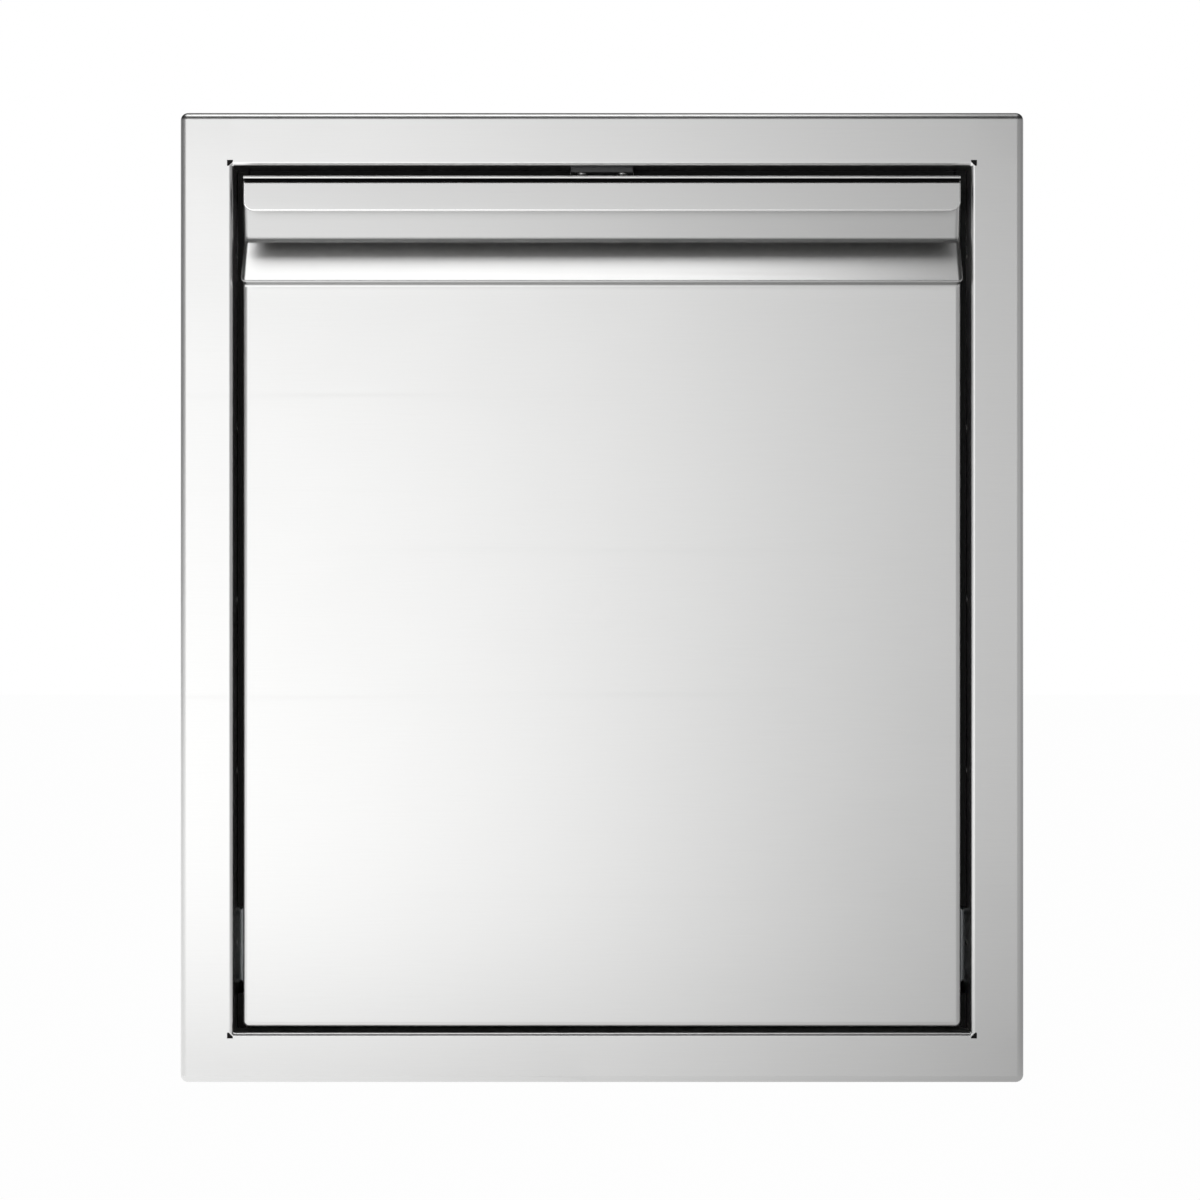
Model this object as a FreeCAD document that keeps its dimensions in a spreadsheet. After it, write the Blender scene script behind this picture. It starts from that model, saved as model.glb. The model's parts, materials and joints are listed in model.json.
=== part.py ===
import FreeCAD, Part
import math
import os
import Sketcher

# Pull-out access door for an outdoor kitchen island, in millimetres.
# X runs to the right, Y runs back into the island, Z runs up.
# The wall is the plane Y = 0, and the origin is the middle of the frame's lower fold on that wall.

os.makedirs("parts", exist_ok=True)
doc = FreeCAD.newDocument("island_access_door")

DRIVING_SIZES = (
    # The face frame
    ("frame_width", 508.0),
    ("frame_height", 584.2),
    ("frame_depth", 12.0),
    ("side_rail", 32.4),
    ("top_rail", 32.4),
    ("bottom_rail", 30.4),
    ("frame_fold", 12.0),
    ("return_depth", 30.0),
    ("face_metal", 1.2),
    ("face_bend", 4.0),
    ("relief_size", 2.4),
    ("relief_lap", 0.6),
    # The front
    ("side_gap", 5.9),
    ("top_gap", 8.2),
    ("bottom_gap", 3.1),
    ("front_depth", 17.0),
    ("handle_zone", 63.1),
    ("lip_height", 20.6),
    ("lip_reach", 12.0),
    ("lip_hem", 8.0),
    ("lip_corner", 6.0),
    ("lip_edge", 1.8),
    ("lip_groove", 2.1),
    ("groove_depth", 5.0),
    ("lip_round", 0.8),
    ("recess_depth", 4.5),
    ("ridge_reach", 13.4),
    ("nose_bend", 1.6),
    ("ramp_height", 27.0),
    ("liner_metal", 1.2),
    ("stiffener_length", 300.0),
    ("stiffener_width", 50.0),
    # The housing in the island
    ("case_room", 12.0),
    ("case_metal", 1.2),
    ("case_flange", 20.0),
    ("case_bend", 2.2),
    ("sheet_play", 1.2),
    ("bar_width", 11.0),
    ("bar_height", 18.0),
    # The black seals behind the gaps
    ("seal_width", 7.3),
    ("seal_height", 9.6),
    ("seal_front", 8.0),
    ("seal_depth", 7.0),
    ("seal_round", 2.0),
    ("seal_room", 4.0),
    ("seal_play", 0.3),
    # The ball slides
    ("slide_front", 34.0),
    ("slide_length", 500.0),
    ("slide_height", 45.0),
    ("slide_space", 12.7),
    ("slide_metal", 1.2),
    ("slide_rise", 45.0),
    ("slide_layer", 3.1),
    ("slide_play", 0.3),
    ("slide_bend", 1.6),
    ("cage_metal", 0.8),
    ("cage_length", 220.0),
    ("ball_radius", 1.55),
    ("ball_play", 0.05),
    ("ball_pitch", 28.0),
    ("buffer_length", 8.0),
    ("buffer_height", 22.5),
    # The carrier
    ("tray_clearance", 2.2),
    ("tray_overhang", 3.0),
    ("tray_wall", 90.0),
    ("carrier_metal", 1.5),
    ("carrier_bend", 2.5),
    ("rack_rise", 200.0),
    ("rack_lap", 20.0),
    ("rack_setback", 25.0),
    ("bracket_rise", 380.0),
    ("bracket_depth", 22.0),
    ("bracket_flange", 25.0),
    # The bins
    ("bin_width", 346.0),
    ("bin_height", 454.0),
    ("bin_taper", 18.0),
    ("bin_wall", 2.0),
    ("bin_rim", 8.0),
    ("bin_rim_height", 14.0),
    ("bin_corner", 26.0),
    ("bin_play", 3.0),
    ("bin_spacing", 6.0),
    ("bin_setback", 27.0),
    ("bin_end_room", 23.0),
    # The magnetic catch
    ("catch_width", 38.0),
    ("catch_plate", 3.0),
    ("catch_reach", 6.0),
    ("catch_depth", 9.5),
    ("catch_drop", 20.0),
    ("magnet_width", 24.0),
    ("magnet_metal", 5.0),
    ("pole_metal", 1.5),
    ("strike_width", 64.0),
    ("strike_height", 12.0),
    ("strike_metal", 1.5),
    ("catch_play", 0.3),
    ("magnet_play", 0.9),
    ("catch_corner", 1.0),
    # Screws and rivets
    ("screw_radius", 2.0),
    ("screw_length", 5.0),
    ("screw_head", 3.6),
    ("screw_head_height", 1.6),
    ("rivet_radius", 1.6),
    ("rivet_head", 3.2),
    ("rivet_head_height", 1.0),
    ("rivet_flare", 0.8),
    ("hole_play", 0.1),
    ("mounting_hole", 2.6),
    ("mounting_setback", 60.0),
    ("mounting_depth", 420.0),
    ("mounting_rise", 107.2),
    ("mounting_height", 360.0),
)

sheet = doc.addObject("Spreadsheet::Sheet", "sizes")
for row, (alias, value) in enumerate(DRIVING_SIZES, start=1):
    sheet.set(f"A{row}", alias)
    sheet.set(f"B{row}", str(value))
    sheet.setAlias(f"B{row}", alias)
doc.recompute()


class Size:
    # A length that carries both its number and its formula in the sheet's names

    def __init__(self, number, formula):
        self.number = number
        self.formula = formula

    def __add__(self, other):
        other = as_size(other)
        return Size(self.number + other.number, f"({self.formula} + {other.formula})")

    def __sub__(self, other):
        other = as_size(other)
        return Size(self.number - other.number, f"({self.formula} - {other.formula})")

    def __mul__(self, other):
        other = as_size(other)
        return Size(self.number * other.number, f"({self.formula} * {other.formula})")

    def __truediv__(self, other):
        other = as_size(other)
        return Size(self.number / other.number, f"({self.formula} / {other.formula})")

    def __neg__(self):
        return Size(-self.number, f"(0 - {self.formula})")


def as_size(value):
    return value if isinstance(value, Size) else Size(float(value), repr(float(value)))


def root_of(value):
    return Size(math.sqrt(value.number), f"sqrt({value.formula})")


def named(alias):
    return Size(float(sheet.get(alias)), f"sizes.{alias}")


def bind(item, name, value):
    item.setExpression(name, as_size(value).formula)


# Each axis has the origin plane across it, the side that plane's normal points to, and the two
# axes that its sketches draw in.
# How many sheets' thickness a cutter is long, so that it always reaches through one
CUTTER_SHEETS = 4
PLANES = {"x": ("YZ_Plane", 1), "y": ("XZ_Plane", -1), "z": ("XY_Plane", 1)}
IN_PLANE = {"x": "yz", "y": "xz", "z": "xy"}
ORIGIN_POINT = -1


def new_body(name):
    body = doc.addObject("PartDesign::Body", name)
    body.Label = name
    return body


def new_sketch(body, name, axis, height):
    role, side = PLANES[axis]
    sketch = body.newObject("Sketcher::SketchObject", name)
    plane = [item for item in body.Origin.OriginFeatures if item.Role == role][0]
    sketch.AttachmentSupport = [(plane, "")]
    sketch.MapMode = "FlatFace"
    bind(sketch, ".AttachmentOffset.Base.z", height * side)
    return sketch


def draw_outline(sketch, points):
    # A closed run of straight lines, with both places of every corner bound to the sheet
    first = sketch.GeometryCount
    count = len(points)
    corners = [FreeCAD.Vector(as_size(u).number, as_size(v).number, 0) for u, v in points]
    for index in range(count):
        sketch.addGeometry(Part.LineSegment(corners[index], corners[(index + 1) % count]), False)
    for index in range(count):
        following = first + (index + 1) % count
        sketch.addConstraint(Sketcher.Constraint("Coincident", first + index, 2, following, 1))
    for index, point in enumerate(points):
        for kind, value in zip(("DistanceX", "DistanceY"), point):
            number = as_size(value).number
            constraint = Sketcher.Constraint(kind, ORIGIN_POINT, 1, first + index, 1, number)
            place = sketch.addConstraint(constraint)
            bind(sketch, f"Constraints[{place}]", value)


def draw_rounded(sketch, low_u, low_v, high_u, high_v, radius):
    # A closed rectangle with round corners, each line's ends and each arc's radius bound to the sheet
    lines = [((low_u + radius, low_v), (high_u - radius, low_v)),
             ((high_u, low_v + radius), (high_u, high_v - radius)),
             ((high_u - radius, high_v), (low_u + radius, high_v)),
             ((low_u, high_v - radius), (low_u, low_v + radius))]
    centres = [(high_u - radius, low_v + radius), (high_u - radius, high_v - radius),
               (low_u + radius, high_v - radius), (low_u + radius, low_v + radius)]
    first = sketch.GeometryCount
    for quarter, (line, centre) in enumerate(zip(lines, centres)):
        start, end = [FreeCAD.Vector(u.number, v.number, 0) for u, v in line]
        sketch.addGeometry(Part.LineSegment(start, end), False)
        middle = FreeCAD.Vector(centre[0].number, centre[1].number, 0)
        circle = Part.Circle(middle, FreeCAD.Vector(0, 0, 1), radius.number)
        begin = (quarter - 1) * math.pi / 2
        sketch.addGeometry(Part.ArcOfCircle(circle, begin, begin + math.pi / 2), False)
    count = len(lines) * 2
    for index in range(count):
        following = first + (index + 1) % count
        sketch.addConstraint(Sketcher.Constraint("Coincident", first + index, 2, following, 1))
    for index, line in enumerate(lines):
        for end, point in enumerate(line, start=1):
            for kind, value in zip(("DistanceX", "DistanceY"), point):
                constraint = Sketcher.Constraint(kind, ORIGIN_POINT, 1, first + index * 2, end, value.number)
                bind(sketch, f"Constraints[{sketch.addConstraint(constraint)}]", value)
        round_corner = Sketcher.Constraint("Radius", first + index * 2 + 1, radius.number)
        bind(sketch, f"Constraints[{sketch.addConstraint(round_corner)}]", radius)


def rectangle(low_u, low_v, high_u, high_v):
    return [(low_u, low_v), (high_u, low_v), (high_u, high_v), (low_u, high_v)]


def add_slab(body, name, axis, outlines, start, stop, cut=False, corner=None):
    # Pads the outlines from start to stop along the axis, or cuts them out of the body.
    # With a corner radius, each outline is a rectangle with round corners.
    side = PLANES[axis][1]
    sketch = new_sketch(body, f"{name}_sketch", axis, start)
    for points in outlines:
        if corner is None:
            draw_outline(sketch, points)
        else:
            draw_rounded(sketch, *points[0], *points[2], corner)
    before = body.Shape.Volume if cut else 0
    kind = "PartDesign::Pocket" if cut else "PartDesign::Pad"
    feature = body.newObject(kind, name)
    feature.Profile = sketch
    feature.Reversed = (side > 0) if cut else (side < 0)
    bind(feature, "Length", stop - start)
    sketch.Visibility = False
    doc.recompute()
    if cut and body.Shape.Volume >= before:
        raise ValueError(f"{name} cuts nothing from {body.Label}")
    return feature


def lies(edge, axis, place):
    # True for a straight edge along the axis whose middle has the given coordinates
    if edge.Degenerated:
        return False
    run = edge.Vertexes[-1].Point.sub(edge.Vertexes[0].Point)
    if abs(abs(getattr(run, axis)) - edge.Length) > 0.001:
        return False
    middle = edge.CenterOfMass
    return all(abs(getattr(middle, key) - as_size(value).number) < 0.01 for key, value in place.items())


def round_edges(body, name, radius, chosen):
    # Rounds every edge of the body that the test picks
    base = body.Tip
    edges = [f"Edge{index}" for index, edge in enumerate(base.Shape.Edges, start=1) if chosen(edge)]
    if not edges:
        raise ValueError(f"{name} finds no edge on {body.Label}")
    fillet = body.newObject("PartDesign::Fillet", name)
    fillet.Base = (base, edges)
    bind(fillet, "Radius", radius)
    doc.recompute()
    if "Invalid" in fillet.State:
        raise ValueError(f"{name} fails on {body.Label}")
    return fillet


def folded_pan(name, low, high, opening, walls, metal, bend=None, round_corners=False):
    # A sheet pan: a flat web with walls folded up along some of its sides.
    # The opening, such as "+z", is the side that the pan opens to, and each wall is named alike.
    # With round corners, the welded corners between the walls are as round as the folds.
    axis = opening[1]
    low = dict(zip("xyz", low))
    high = dict(zip("xyz", high))
    opens_up = opening[0] == "+"
    web_outside = low[axis] if opens_up else high[axis]
    web_inside = web_outside + metal if opens_up else web_outside - metal
    u, v = IN_PLANE[axis]

    def rounded_block(part_name, corners, bottom, top, web_level, radius):
        body = new_body(part_name)
        outline = rectangle(corners["-" + u], corners["-" + v], corners["+" + u], corners["+" + v])
        add_slab(body, f"{part_name}_slab", axis, [outline], bottom, top)
        if bend is not None:
            folds = [(other_axis(axis, wall[1]), {axis: web_level, wall[1]: corners[wall]})
                     for wall in walls]
            if round_corners:
                folds += [(axis, {u: corners[left + u], v: corners[right + v]})
                          for left in "-+" for right in "-+"]
            round_edges(body, f"{part_name}_folds", radius,
                        lambda edge: any(lies(edge, run, place) for run, place in folds))
        return body

    outside = {}
    inside = {}
    for letter in (u, v):
        for sign, side, inward in (("-", low, metal), ("+", high, -metal)):
            wall = sign + letter
            outside[wall] = side[letter]
            inside[wall] = side[letter] + inward if wall in walls else side[letter] - inward * CUTTER_SHEETS
    block = rounded_block(f"{name}_block", outside, low[axis], high[axis], web_outside, bend)
    bottom = web_inside if opens_up else low[axis] - metal
    top = high[axis] + metal if opens_up else web_inside
    inner_bend = None if bend is None else bend - metal
    hollow = rounded_block(f"{name}_hollow", inside, bottom, top, web_inside, inner_bend)
    return cut_out(name, block, hollow)


def cut_out(name, base, tool):
    part = doc.addObject("Part::Cut", name)
    part.Base = base
    part.Tool = tool
    part.Label = name
    doc.recompute()
    if part.Shape.isNull() or part.Shape.Volume >= base.Shape.Volume:
        raise ValueError(f"{name} cuts nothing")
    return part


def other_axis(first, second):
    return [letter for letter in "xyz" if letter not in (first, second)][0]


def vector(point):
    return FreeCAD.Vector(*[as_size(value).number for value in point])


def coded_part(name, shape):
    part = doc.addObject("Part::Feature", name)
    part.Label = name
    part.Shape = shape
    return part


def drilled(name, base, places, direction, radius, length):
    # The base with a round hole at each place, running from the place along the direction
    way = FreeCAD.Vector(*direction)
    holes = [Part.makeCylinder(radius.number, length.number, vector(place), way) for place in places]
    return cut_out(name, base, coded_part(f"{name}_holes", Part.makeCompound(holes)))


def countersunk(name, base, places, direction, radius, flare):
    # The base with the mouth of each hole widened, so that a flared tail lies flush in it
    way = FreeCAD.Vector(*direction)
    mouths = [Part.makeCone((radius + flare).number, radius.number, flare.number, vector(place), way)
              for place in places]
    return cut_out(name, base, coded_part(f"{name}_mouths", Part.makeCompound(mouths)))


def round_headed(name, shank_radius, head_radius, head_height, tail):
    # A pattern for a screw or rivet, turned about Z, with its head's seat at Z = 0.
    # The tail is the outline below the seat, from the shank's side to the end.
    body = new_body(name)
    sketch = new_sketch(body, f"{name}_sketch", "y", as_size(0))
    outline = [(as_size(0), head_height), (head_radius * CROWN_SHARE, head_height),
               (head_radius, head_height / 2), (head_radius, as_size(0)), (shank_radius, as_size(0))]
    outline += tail
    outline.append((as_size(0), tail[-1][1]))
    draw_outline(sketch, outline)
    turned = body.newObject("PartDesign::Revolution", f"{name}_turned")
    turned.Profile = sketch
    turned.ReferenceAxis = (sketch, ["V_Axis"])
    turned.Angle = 360
    sketch.Visibility = False
    doc.recompute()
    return body


def fastener_group(name, pattern, seats):
    # Copies of the pattern, each with its seat at a place and its head pointing along a direction
    copies = []
    for place, direction in seats:
        copy = pattern.Shape.copy()
        turn = FreeCAD.Rotation(FreeCAD.Vector(0, 0, 1), FreeCAD.Vector(*direction))
        copy.Placement = FreeCAD.Placement(vector(place), turn)
        copies.append(copy)
    return coded_part(name, Part.makeCompound(copies))


nodes = []


def keep(part, name):
    part.Label = name
    nodes.append(part)
    return part


SIDES = (("left", -1), ("right", 1))
TOWARDS = {"left": "+x", "right": "-x"}
AWAY = {"left": "-x", "right": "+x"}


def mirrored_box(side, near, far, low_y, high_y, low_z, high_z):
    # The low and high corners of a box on one side, given its least and greatest distance from X = 0
    if side > 0:
        return (near, low_y, low_z), (far, high_y, high_z)
    return (-far, low_y, low_z), (-near, high_y, high_z)


# A round head's flat crown and a rivet's tail, as shares of the head
CROWN_SHARE = 0.7
RIVET_TAIL_SHARE = 0.8
# Where the fasteners and stiffeners sit, as shares of the run they share out
FRAME_RIVET_SHARES = (0.1, 0.3, 0.5, 0.7, 0.9)
FLOOR_RIVET_SHARES = (0.15, 0.5, 0.85)
BACK_RIVET_SHARES = (0.12, 0.5, 0.88)
SLIDE_SCREW_SHARES = (0.1, 0.5, 0.9)
CATCH_SCREW_SHARES = (-0.32, 0.32)
TRAY_SCREW_SHARES = (-0.6, 0, 0.6)
BRACKET_SCREW_SHARES = (0.2, 0.85)
STRIKE_SCREW_SHARES = (-0.41, 0.41)
RACK_SCREW_SHARES = (0.2, 0.8)
STIFFENER_SHARES = (0.35, 0.7)

# Levels and places that the pieces share
zero = as_size(0)
face_metal = named("face_metal")
face_bend = named("face_bend")
case_metal = named("case_metal")
carrier_metal = named("carrier_metal")
half_frame = named("frame_width") / 2
frame_bottom = -(named("frame_fold") / 2)
frame_top = frame_bottom + named("frame_height")
face_plane = -named("frame_depth")
return_back = face_plane + named("return_depth")
half_opening = half_frame - named("side_rail")
opening_bottom = frame_bottom + named("bottom_rail")
opening_top = frame_top - named("top_rail")

half_front = half_opening - named("side_gap")
front_bottom = opening_bottom + named("bottom_gap")
front_top = opening_top - named("top_gap")
front_back = face_plane + named("front_depth")
ridge_level = front_top - named("handle_zone")
lip_face = face_plane - named("lip_reach")
lip_bottom = front_top - named("lip_height")
recess_wall = face_plane + named("recess_depth")
ridge_tip = face_plane - named("ridge_reach")
ramp_top = ridge_level + named("ramp_height")

case_inside = half_opening + face_metal
floor_top = opening_bottom - face_metal
case_bottom = floor_top - case_metal * 2
case_top = opening_top + face_metal + case_metal
case_start = case_metal

tray_bottom = opening_bottom + named("tray_clearance")
tray_floor = tray_bottom + carrier_metal
tray_top = tray_bottom + named("tray_wall")
half_tray = case_inside - named("slide_space")
rack_top = tray_bottom + named("rack_rise")
rack_front = front_back + named("rack_setback")
slide_level = tray_bottom + named("slide_rise")
slide_front = named("slide_front")
slide_back = slide_front + named("slide_length")
tray_back = slide_back + named("tray_overhang")
case_back = slide_back + named("buffer_length") + named("case_room")
hole_radius = named("screw_radius") + named("hole_play")
rivet_hole = named("rivet_radius") + named("hole_play")
inner_bend = face_bend - face_metal


def frame_rectangle(inset):
    return rectangle(inset - half_frame, frame_bottom + inset, half_frame - inset, frame_top - inset)


def opening_rectangle(outset):
    return rectangle(-half_opening - outset, opening_bottom - outset,
                     half_opening + outset, opening_top + outset)


def loop_edges(edge, level, inset_x, low_z, high_z):
    # The four edges of a rectangle that lies in a plane across Y
    sides = ("z", {"y": level, "x": inset_x}), ("z", {"y": level, "x": -inset_x})
    ends = ("x", {"y": level, "z": low_z}), ("x", {"y": level, "z": high_z})
    return any(lies(edge, run, place) for run, place in sides + ends)


def corner_edges(edge, half_width, low_z, high_z):
    # The four edges along Y at the corners of a rectangle
    places = [{"x": across, "z": up} for across in (half_width, -half_width) for up in (low_z, high_z)]
    return any(lies(edge, "y", place) for place in places)


def make_face_frame():
    # One sheet: the face, an outer return with a fold on the wall, and a return into the opening.
    # Its blank is solid between the returns, and the hollow behind the face is cut out of it.
    blank = new_body("face_frame_blank")
    add_slab(blank, "rails", "y", [frame_rectangle(zero), opening_rectangle(zero)], face_plane, zero)
    round_edges(blank, "outer_bends", face_bend,
                lambda edge: loop_edges(edge, face_plane, half_frame, frame_bottom, frame_top)
                or corner_edges(edge, half_frame, frame_bottom, frame_top)
                or loop_edges(edge, face_plane, half_opening, opening_bottom, opening_top))
    add_slab(blank, "opening_return", "y", [opening_rectangle(face_metal), opening_rectangle(zero)],
             -face_metal, return_back)
    round_edges(blank, "return_corners", face_metal,
                lambda edge: corner_edges(edge, case_inside, floor_top, opening_top + face_metal))
    relief = named("relief_size")
    relief_lap = named("relief_lap")
    near, far = half_opening - relief_lap, half_opening + relief
    levels = ((opening_bottom - relief, opening_bottom + relief_lap),
              (opening_top - relief_lap, opening_top + relief))
    notches = [rectangle(left, low, right, high)
               for left, right in ((near, far), (-far, -near)) for low, high in levels]
    add_slab(blank, "relief_notches", "y", notches, face_plane, face_plane + face_bend + relief, cut=True)

    hollow = new_body("face_frame_hollow")
    inside = face_plane + face_metal
    add_slab(hollow, "space", "y", [frame_rectangle(face_metal), opening_rectangle(face_metal)],
             inside, -face_metal)
    half_inside = half_frame - face_metal
    low_inside = frame_bottom + face_metal
    high_inside = frame_top - face_metal
    round_edges(hollow, "inner_bends", inner_bend,
                lambda edge: loop_edges(edge, inside, half_inside, low_inside, high_inside)
                or corner_edges(edge, half_inside, low_inside, high_inside)
                or loop_edges(edge, inside, case_inside, floor_top, opening_top + face_metal))
    add_slab(hollow, "back_gap", "y", [frame_rectangle(named("frame_fold")), opening_rectangle(face_metal)],
             -face_metal, face_metal)
    return cut_out("face_frame_sheet", blank, hollow)


def make_front_panel():
    # One sheet across the whole width: lip, recess, ramp, ridge and main face, with welded ends
    reach = recess_wall - ridge_tip
    slope = root_of(reach * reach + named("ramp_height") * named("ramp_height"))
    steep = named("ramp_height") / slope
    flat = reach / slope
    ramp_back_top = ramp_top + face_metal * ((as_size(1) - steep) * named("ramp_height") / reach - flat)
    ridge_back = ridge_tip + face_metal * (steep + (flat + 1) * reach / named("ramp_height"))
    edge_bottom = front_top - named("lip_edge")
    lip_top = edge_bottom - named("lip_groove")
    groove_back = lip_face + named("groove_depth")
    web_back = groove_back + face_metal
    hem_top = lip_bottom + named("lip_hem")
    lip_back = lip_face + face_metal
    hem_back = lip_back + face_metal
    inner_face = face_plane + face_metal
    recess_back = recess_wall + face_metal
    profile = [
        (front_back, front_bottom),
        (face_plane, front_bottom),
        (face_plane, ridge_level),
        (ridge_tip, ridge_level),
        (recess_wall, ramp_top),
        (recess_wall, front_top - face_metal),
        (web_back, front_top - face_metal),
        (web_back, lip_top - face_metal),
        (lip_back, lip_top - face_metal),
        (lip_back, hem_top),
        (hem_back, hem_top),
        (hem_back, lip_bottom),
        (lip_face, lip_bottom),
        (lip_face, lip_top),
        (groove_back, lip_top),
        (groove_back, edge_bottom),
        (lip_face, edge_bottom),
        (lip_face, front_top),
        (recess_back, front_top),
        (recess_back, ramp_back_top),
        (ridge_back, ridge_level + face_metal),
        (inner_face, ridge_level + face_metal),
        (inner_face, front_bottom + face_metal),
        (front_back, front_bottom + face_metal),
    ]
    end_plate = [
        (front_back, front_bottom),
        (face_plane, front_bottom),
        (face_plane, ridge_level),
        (ridge_tip, ridge_level),
        (recess_wall, ramp_top),
        (recess_wall, front_top),
        (front_back, front_top),
    ]
    body = new_body("front_panel_sheet")
    add_slab(body, "folded_sheet", "x", [profile], -half_front, half_front)
    add_slab(body, "left_end", "x", [end_plate], -half_front, face_metal - half_front)
    add_slab(body, "right_end", "x", [end_plate], half_front - face_metal, half_front)
    sharp = {
        "inside": [(recess_wall, front_top - face_metal), (recess_wall, ramp_top),
                   (inner_face, front_bottom + face_metal)],
        "outside": [(recess_back, ramp_back_top)],
        "nose": [(ridge_tip, ridge_level)],
        "nose_back": [(ridge_back, ridge_level + face_metal)],
        "lip": [(lip_face, lip_top), (lip_face, edge_bottom), (lip_face, front_top)],
    }

    def bends(edge, which):
        return any(lies(edge, "x", {"y": across, "z": up}) for across, up in sharp[which])

    def face_edges(edge, level, half_width, low_z):
        upright = any(lies(edge, "z", {"y": level, "x": across}) for across in (half_width, -half_width))
        return upright and edge.CenterOfMass.z < ridge_level.number or \
            lies(edge, "x", {"y": level, "z": low_z})

    round_edges(body, "lip_corners", named("lip_corner"),
                lambda edge: corner_edges(edge, half_front, lip_bottom, lip_bottom))
    round_edges(body, "inner_bends", inner_bend, lambda edge: bends(edge, "inside"))
    round_edges(body, "outer_bends", face_bend, lambda edge: bends(edge, "outside"))
    round_edges(body, "nose_bends", named("nose_bend"), lambda edge: bends(edge, "nose"))
    round_edges(body, "nose_hollow", named("nose_bend") - face_metal, lambda edge: bends(edge, "nose_back"))
    round_edges(body, "lip_rounds", named("lip_round"), lambda edge: bends(edge, "lip"))
    round_edges(body, "inner_returns", inner_bend,
                lambda edge: any(lies(edge, "z", {"y": inner_face, "x": across})
                                 for across in (half_front - face_metal, face_metal - half_front)))
    round_edges(body, "face_returns", face_bend,
                lambda edge: face_edges(edge, face_plane, half_front, front_bottom))
    return body


def make_slide(label, side):
    # The three members of one slide, its two ball cages and their balls
    metal = named("slide_metal")
    play = named("slide_play")
    layer = named("slide_layer")
    cage_metal = named("cage_metal")
    race = (named("ball_radius") + named("ball_play")) * 2
    outer_half = named("slide_height") / 2
    middle_half = outer_half - metal - race
    inner_half = middle_half - metal - race
    middle_web = layer + cage_metal + play
    inner_cage_web = middle_web + metal + play
    space = named("slide_space")
    inner_web = space - metal
    row = inner_cage_web + cage_metal + named("ball_radius")
    cage_front = slide_front + (named("slide_length") - named("cage_length")) / 2
    cage_back = cage_front + named("cage_length")

    def member(name, near_wall, far, half_height, front, back, opening, bend):
        low, high = mirrored_box(side, case_inside - far, case_inside - near_wall, front, back,
                                 slide_level - half_height, slide_level + half_height)
        thickness = metal if bend is not None else cage_metal
        return folded_pan(name, low, high, opening, ("-z", "+z"), thickness, bend)

    bend = named("slide_bend")
    towards, away = TOWARDS[label], AWAY[label]
    outer = member(f"slide_outer_{label}_channel", zero, row + named("ball_radius") + play, outer_half,
                   slide_front, slide_back + named("buffer_length"), towards, bend)
    middle = member(f"slide_middle_{label}", middle_web, row + named("ball_radius") + metal, middle_half,
                    slide_front, slide_back, towards, bend)
    inner = member(f"slide_inner_{label}_channel", row - named("ball_radius") + play, space, inner_half,
                   slide_front, slide_back, away, bend)

    outer_race = outer_half - metal - race / 2
    inner_race = middle_half - metal - race / 2
    cages = (("outer", layer, outer_race), ("inner", inner_cage_web, inner_race))
    for cage_name, web, race_half in cages:
        cage = member(f"{cage_name}_ball_cage_{label}_strip", web, row + named("ball_radius") + play,
                      race_half + cage_metal / 2, cage_front, cage_back, towards, None)
        first = cage_front + named("ball_pitch") / 2
        count = int(named("cage_length").number / named("ball_pitch").number)
        centres = [((case_inside - row) * side, first + named("ball_pitch") * index,
                    slide_level + race_half * up) for index in range(count) for up in (-1, 1)]
        sockets = [(across, along, up - named("ball_radius")) for across, along, up in centres]
        hole = named("ball_radius") + named("ball_play")
        drilled_cage = drilled(f"{cage_name}_ball_cage_{label}", cage, sockets, (0, 0, 1), hole,
                               named("ball_radius") * 2)
        keep(drilled_cage, f"{cage_name}_ball_cage_{label}")
        balls = [Part.makeSphere(named("ball_radius").number, vector(centre)) for centre in centres]
        keep(coded_part(f"{cage_name}_balls_{label}", Part.makeCompound(balls)), f"{cage_name}_balls_{label}")

    keep(middle, f"slide_middle_{label}")
    return outer, inner, metal, inner_web


def slide_screw_places(side, across):
    return [(across * side, slide_front + named("slide_length") * share, slide_level)
            for share in SLIDE_SCREW_SHARES]


sheet_pair = case_metal + face_metal
rivet_radius = named("rivet_radius")
rivet_flare = named("rivet_flare")
tail_radius = named("rivet_head") * RIVET_TAIL_SHARE
tail_end = sheet_pair + named("rivet_head_height") * RIVET_TAIL_SHARE
screw = round_headed("screw_pattern", named("screw_radius"), named("screw_head"), named("screw_head_height"),
                     [(named("screw_radius"), -named("screw_length"))])
rivet = round_headed("rivet_pattern", rivet_radius, named("rivet_head"), named("rivet_head_height"),
                     [(rivet_radius, -sheet_pair), (tail_radius, -sheet_pair), (tail_radius, -tail_end)])
flush_rivet = round_headed("flush_rivet_pattern", rivet_radius, named("rivet_head"), named("rivet_head_height"),
                           [(rivet_radius, rivet_flare - sheet_pair), (rivet_radius + rivet_flare, -sheet_pair)])

# The face frame, its rivets and the catch's screws
rivet_line = return_back / 2
opening_height = opening_top - opening_bottom
frame_rivet_heights = [opening_bottom + opening_height * share for share in FRAME_RIVET_SHARES]
drill_length = sheet_pair * CUTTER_SHEETS

frame = make_face_frame()
for label, side in SIDES:
    frame = drilled(f"face_frame_riveted_{label}", frame,
                    [((case_inside - face_metal * 2) * side, rivet_line, up) for up in frame_rivet_heights],
                    (side, 0, 0), rivet_hole, drill_length)
    frame = countersunk(f"face_frame_sunk_{label}", frame,
                        [(half_opening * side, rivet_line, up) for up in frame_rivet_heights],
                        (side, 0, 0), rivet_hole, rivet_flare)
catch_screw_places = [(named("catch_width") * share, zero, opening_top - named("catch_plate"))
                      for share in CATCH_SCREW_SHARES]
frame = drilled("face_frame", frame, catch_screw_places, (0, 0, 1), hole_radius, named("catch_plate") * 2)
keep(frame, "face_frame")

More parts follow.
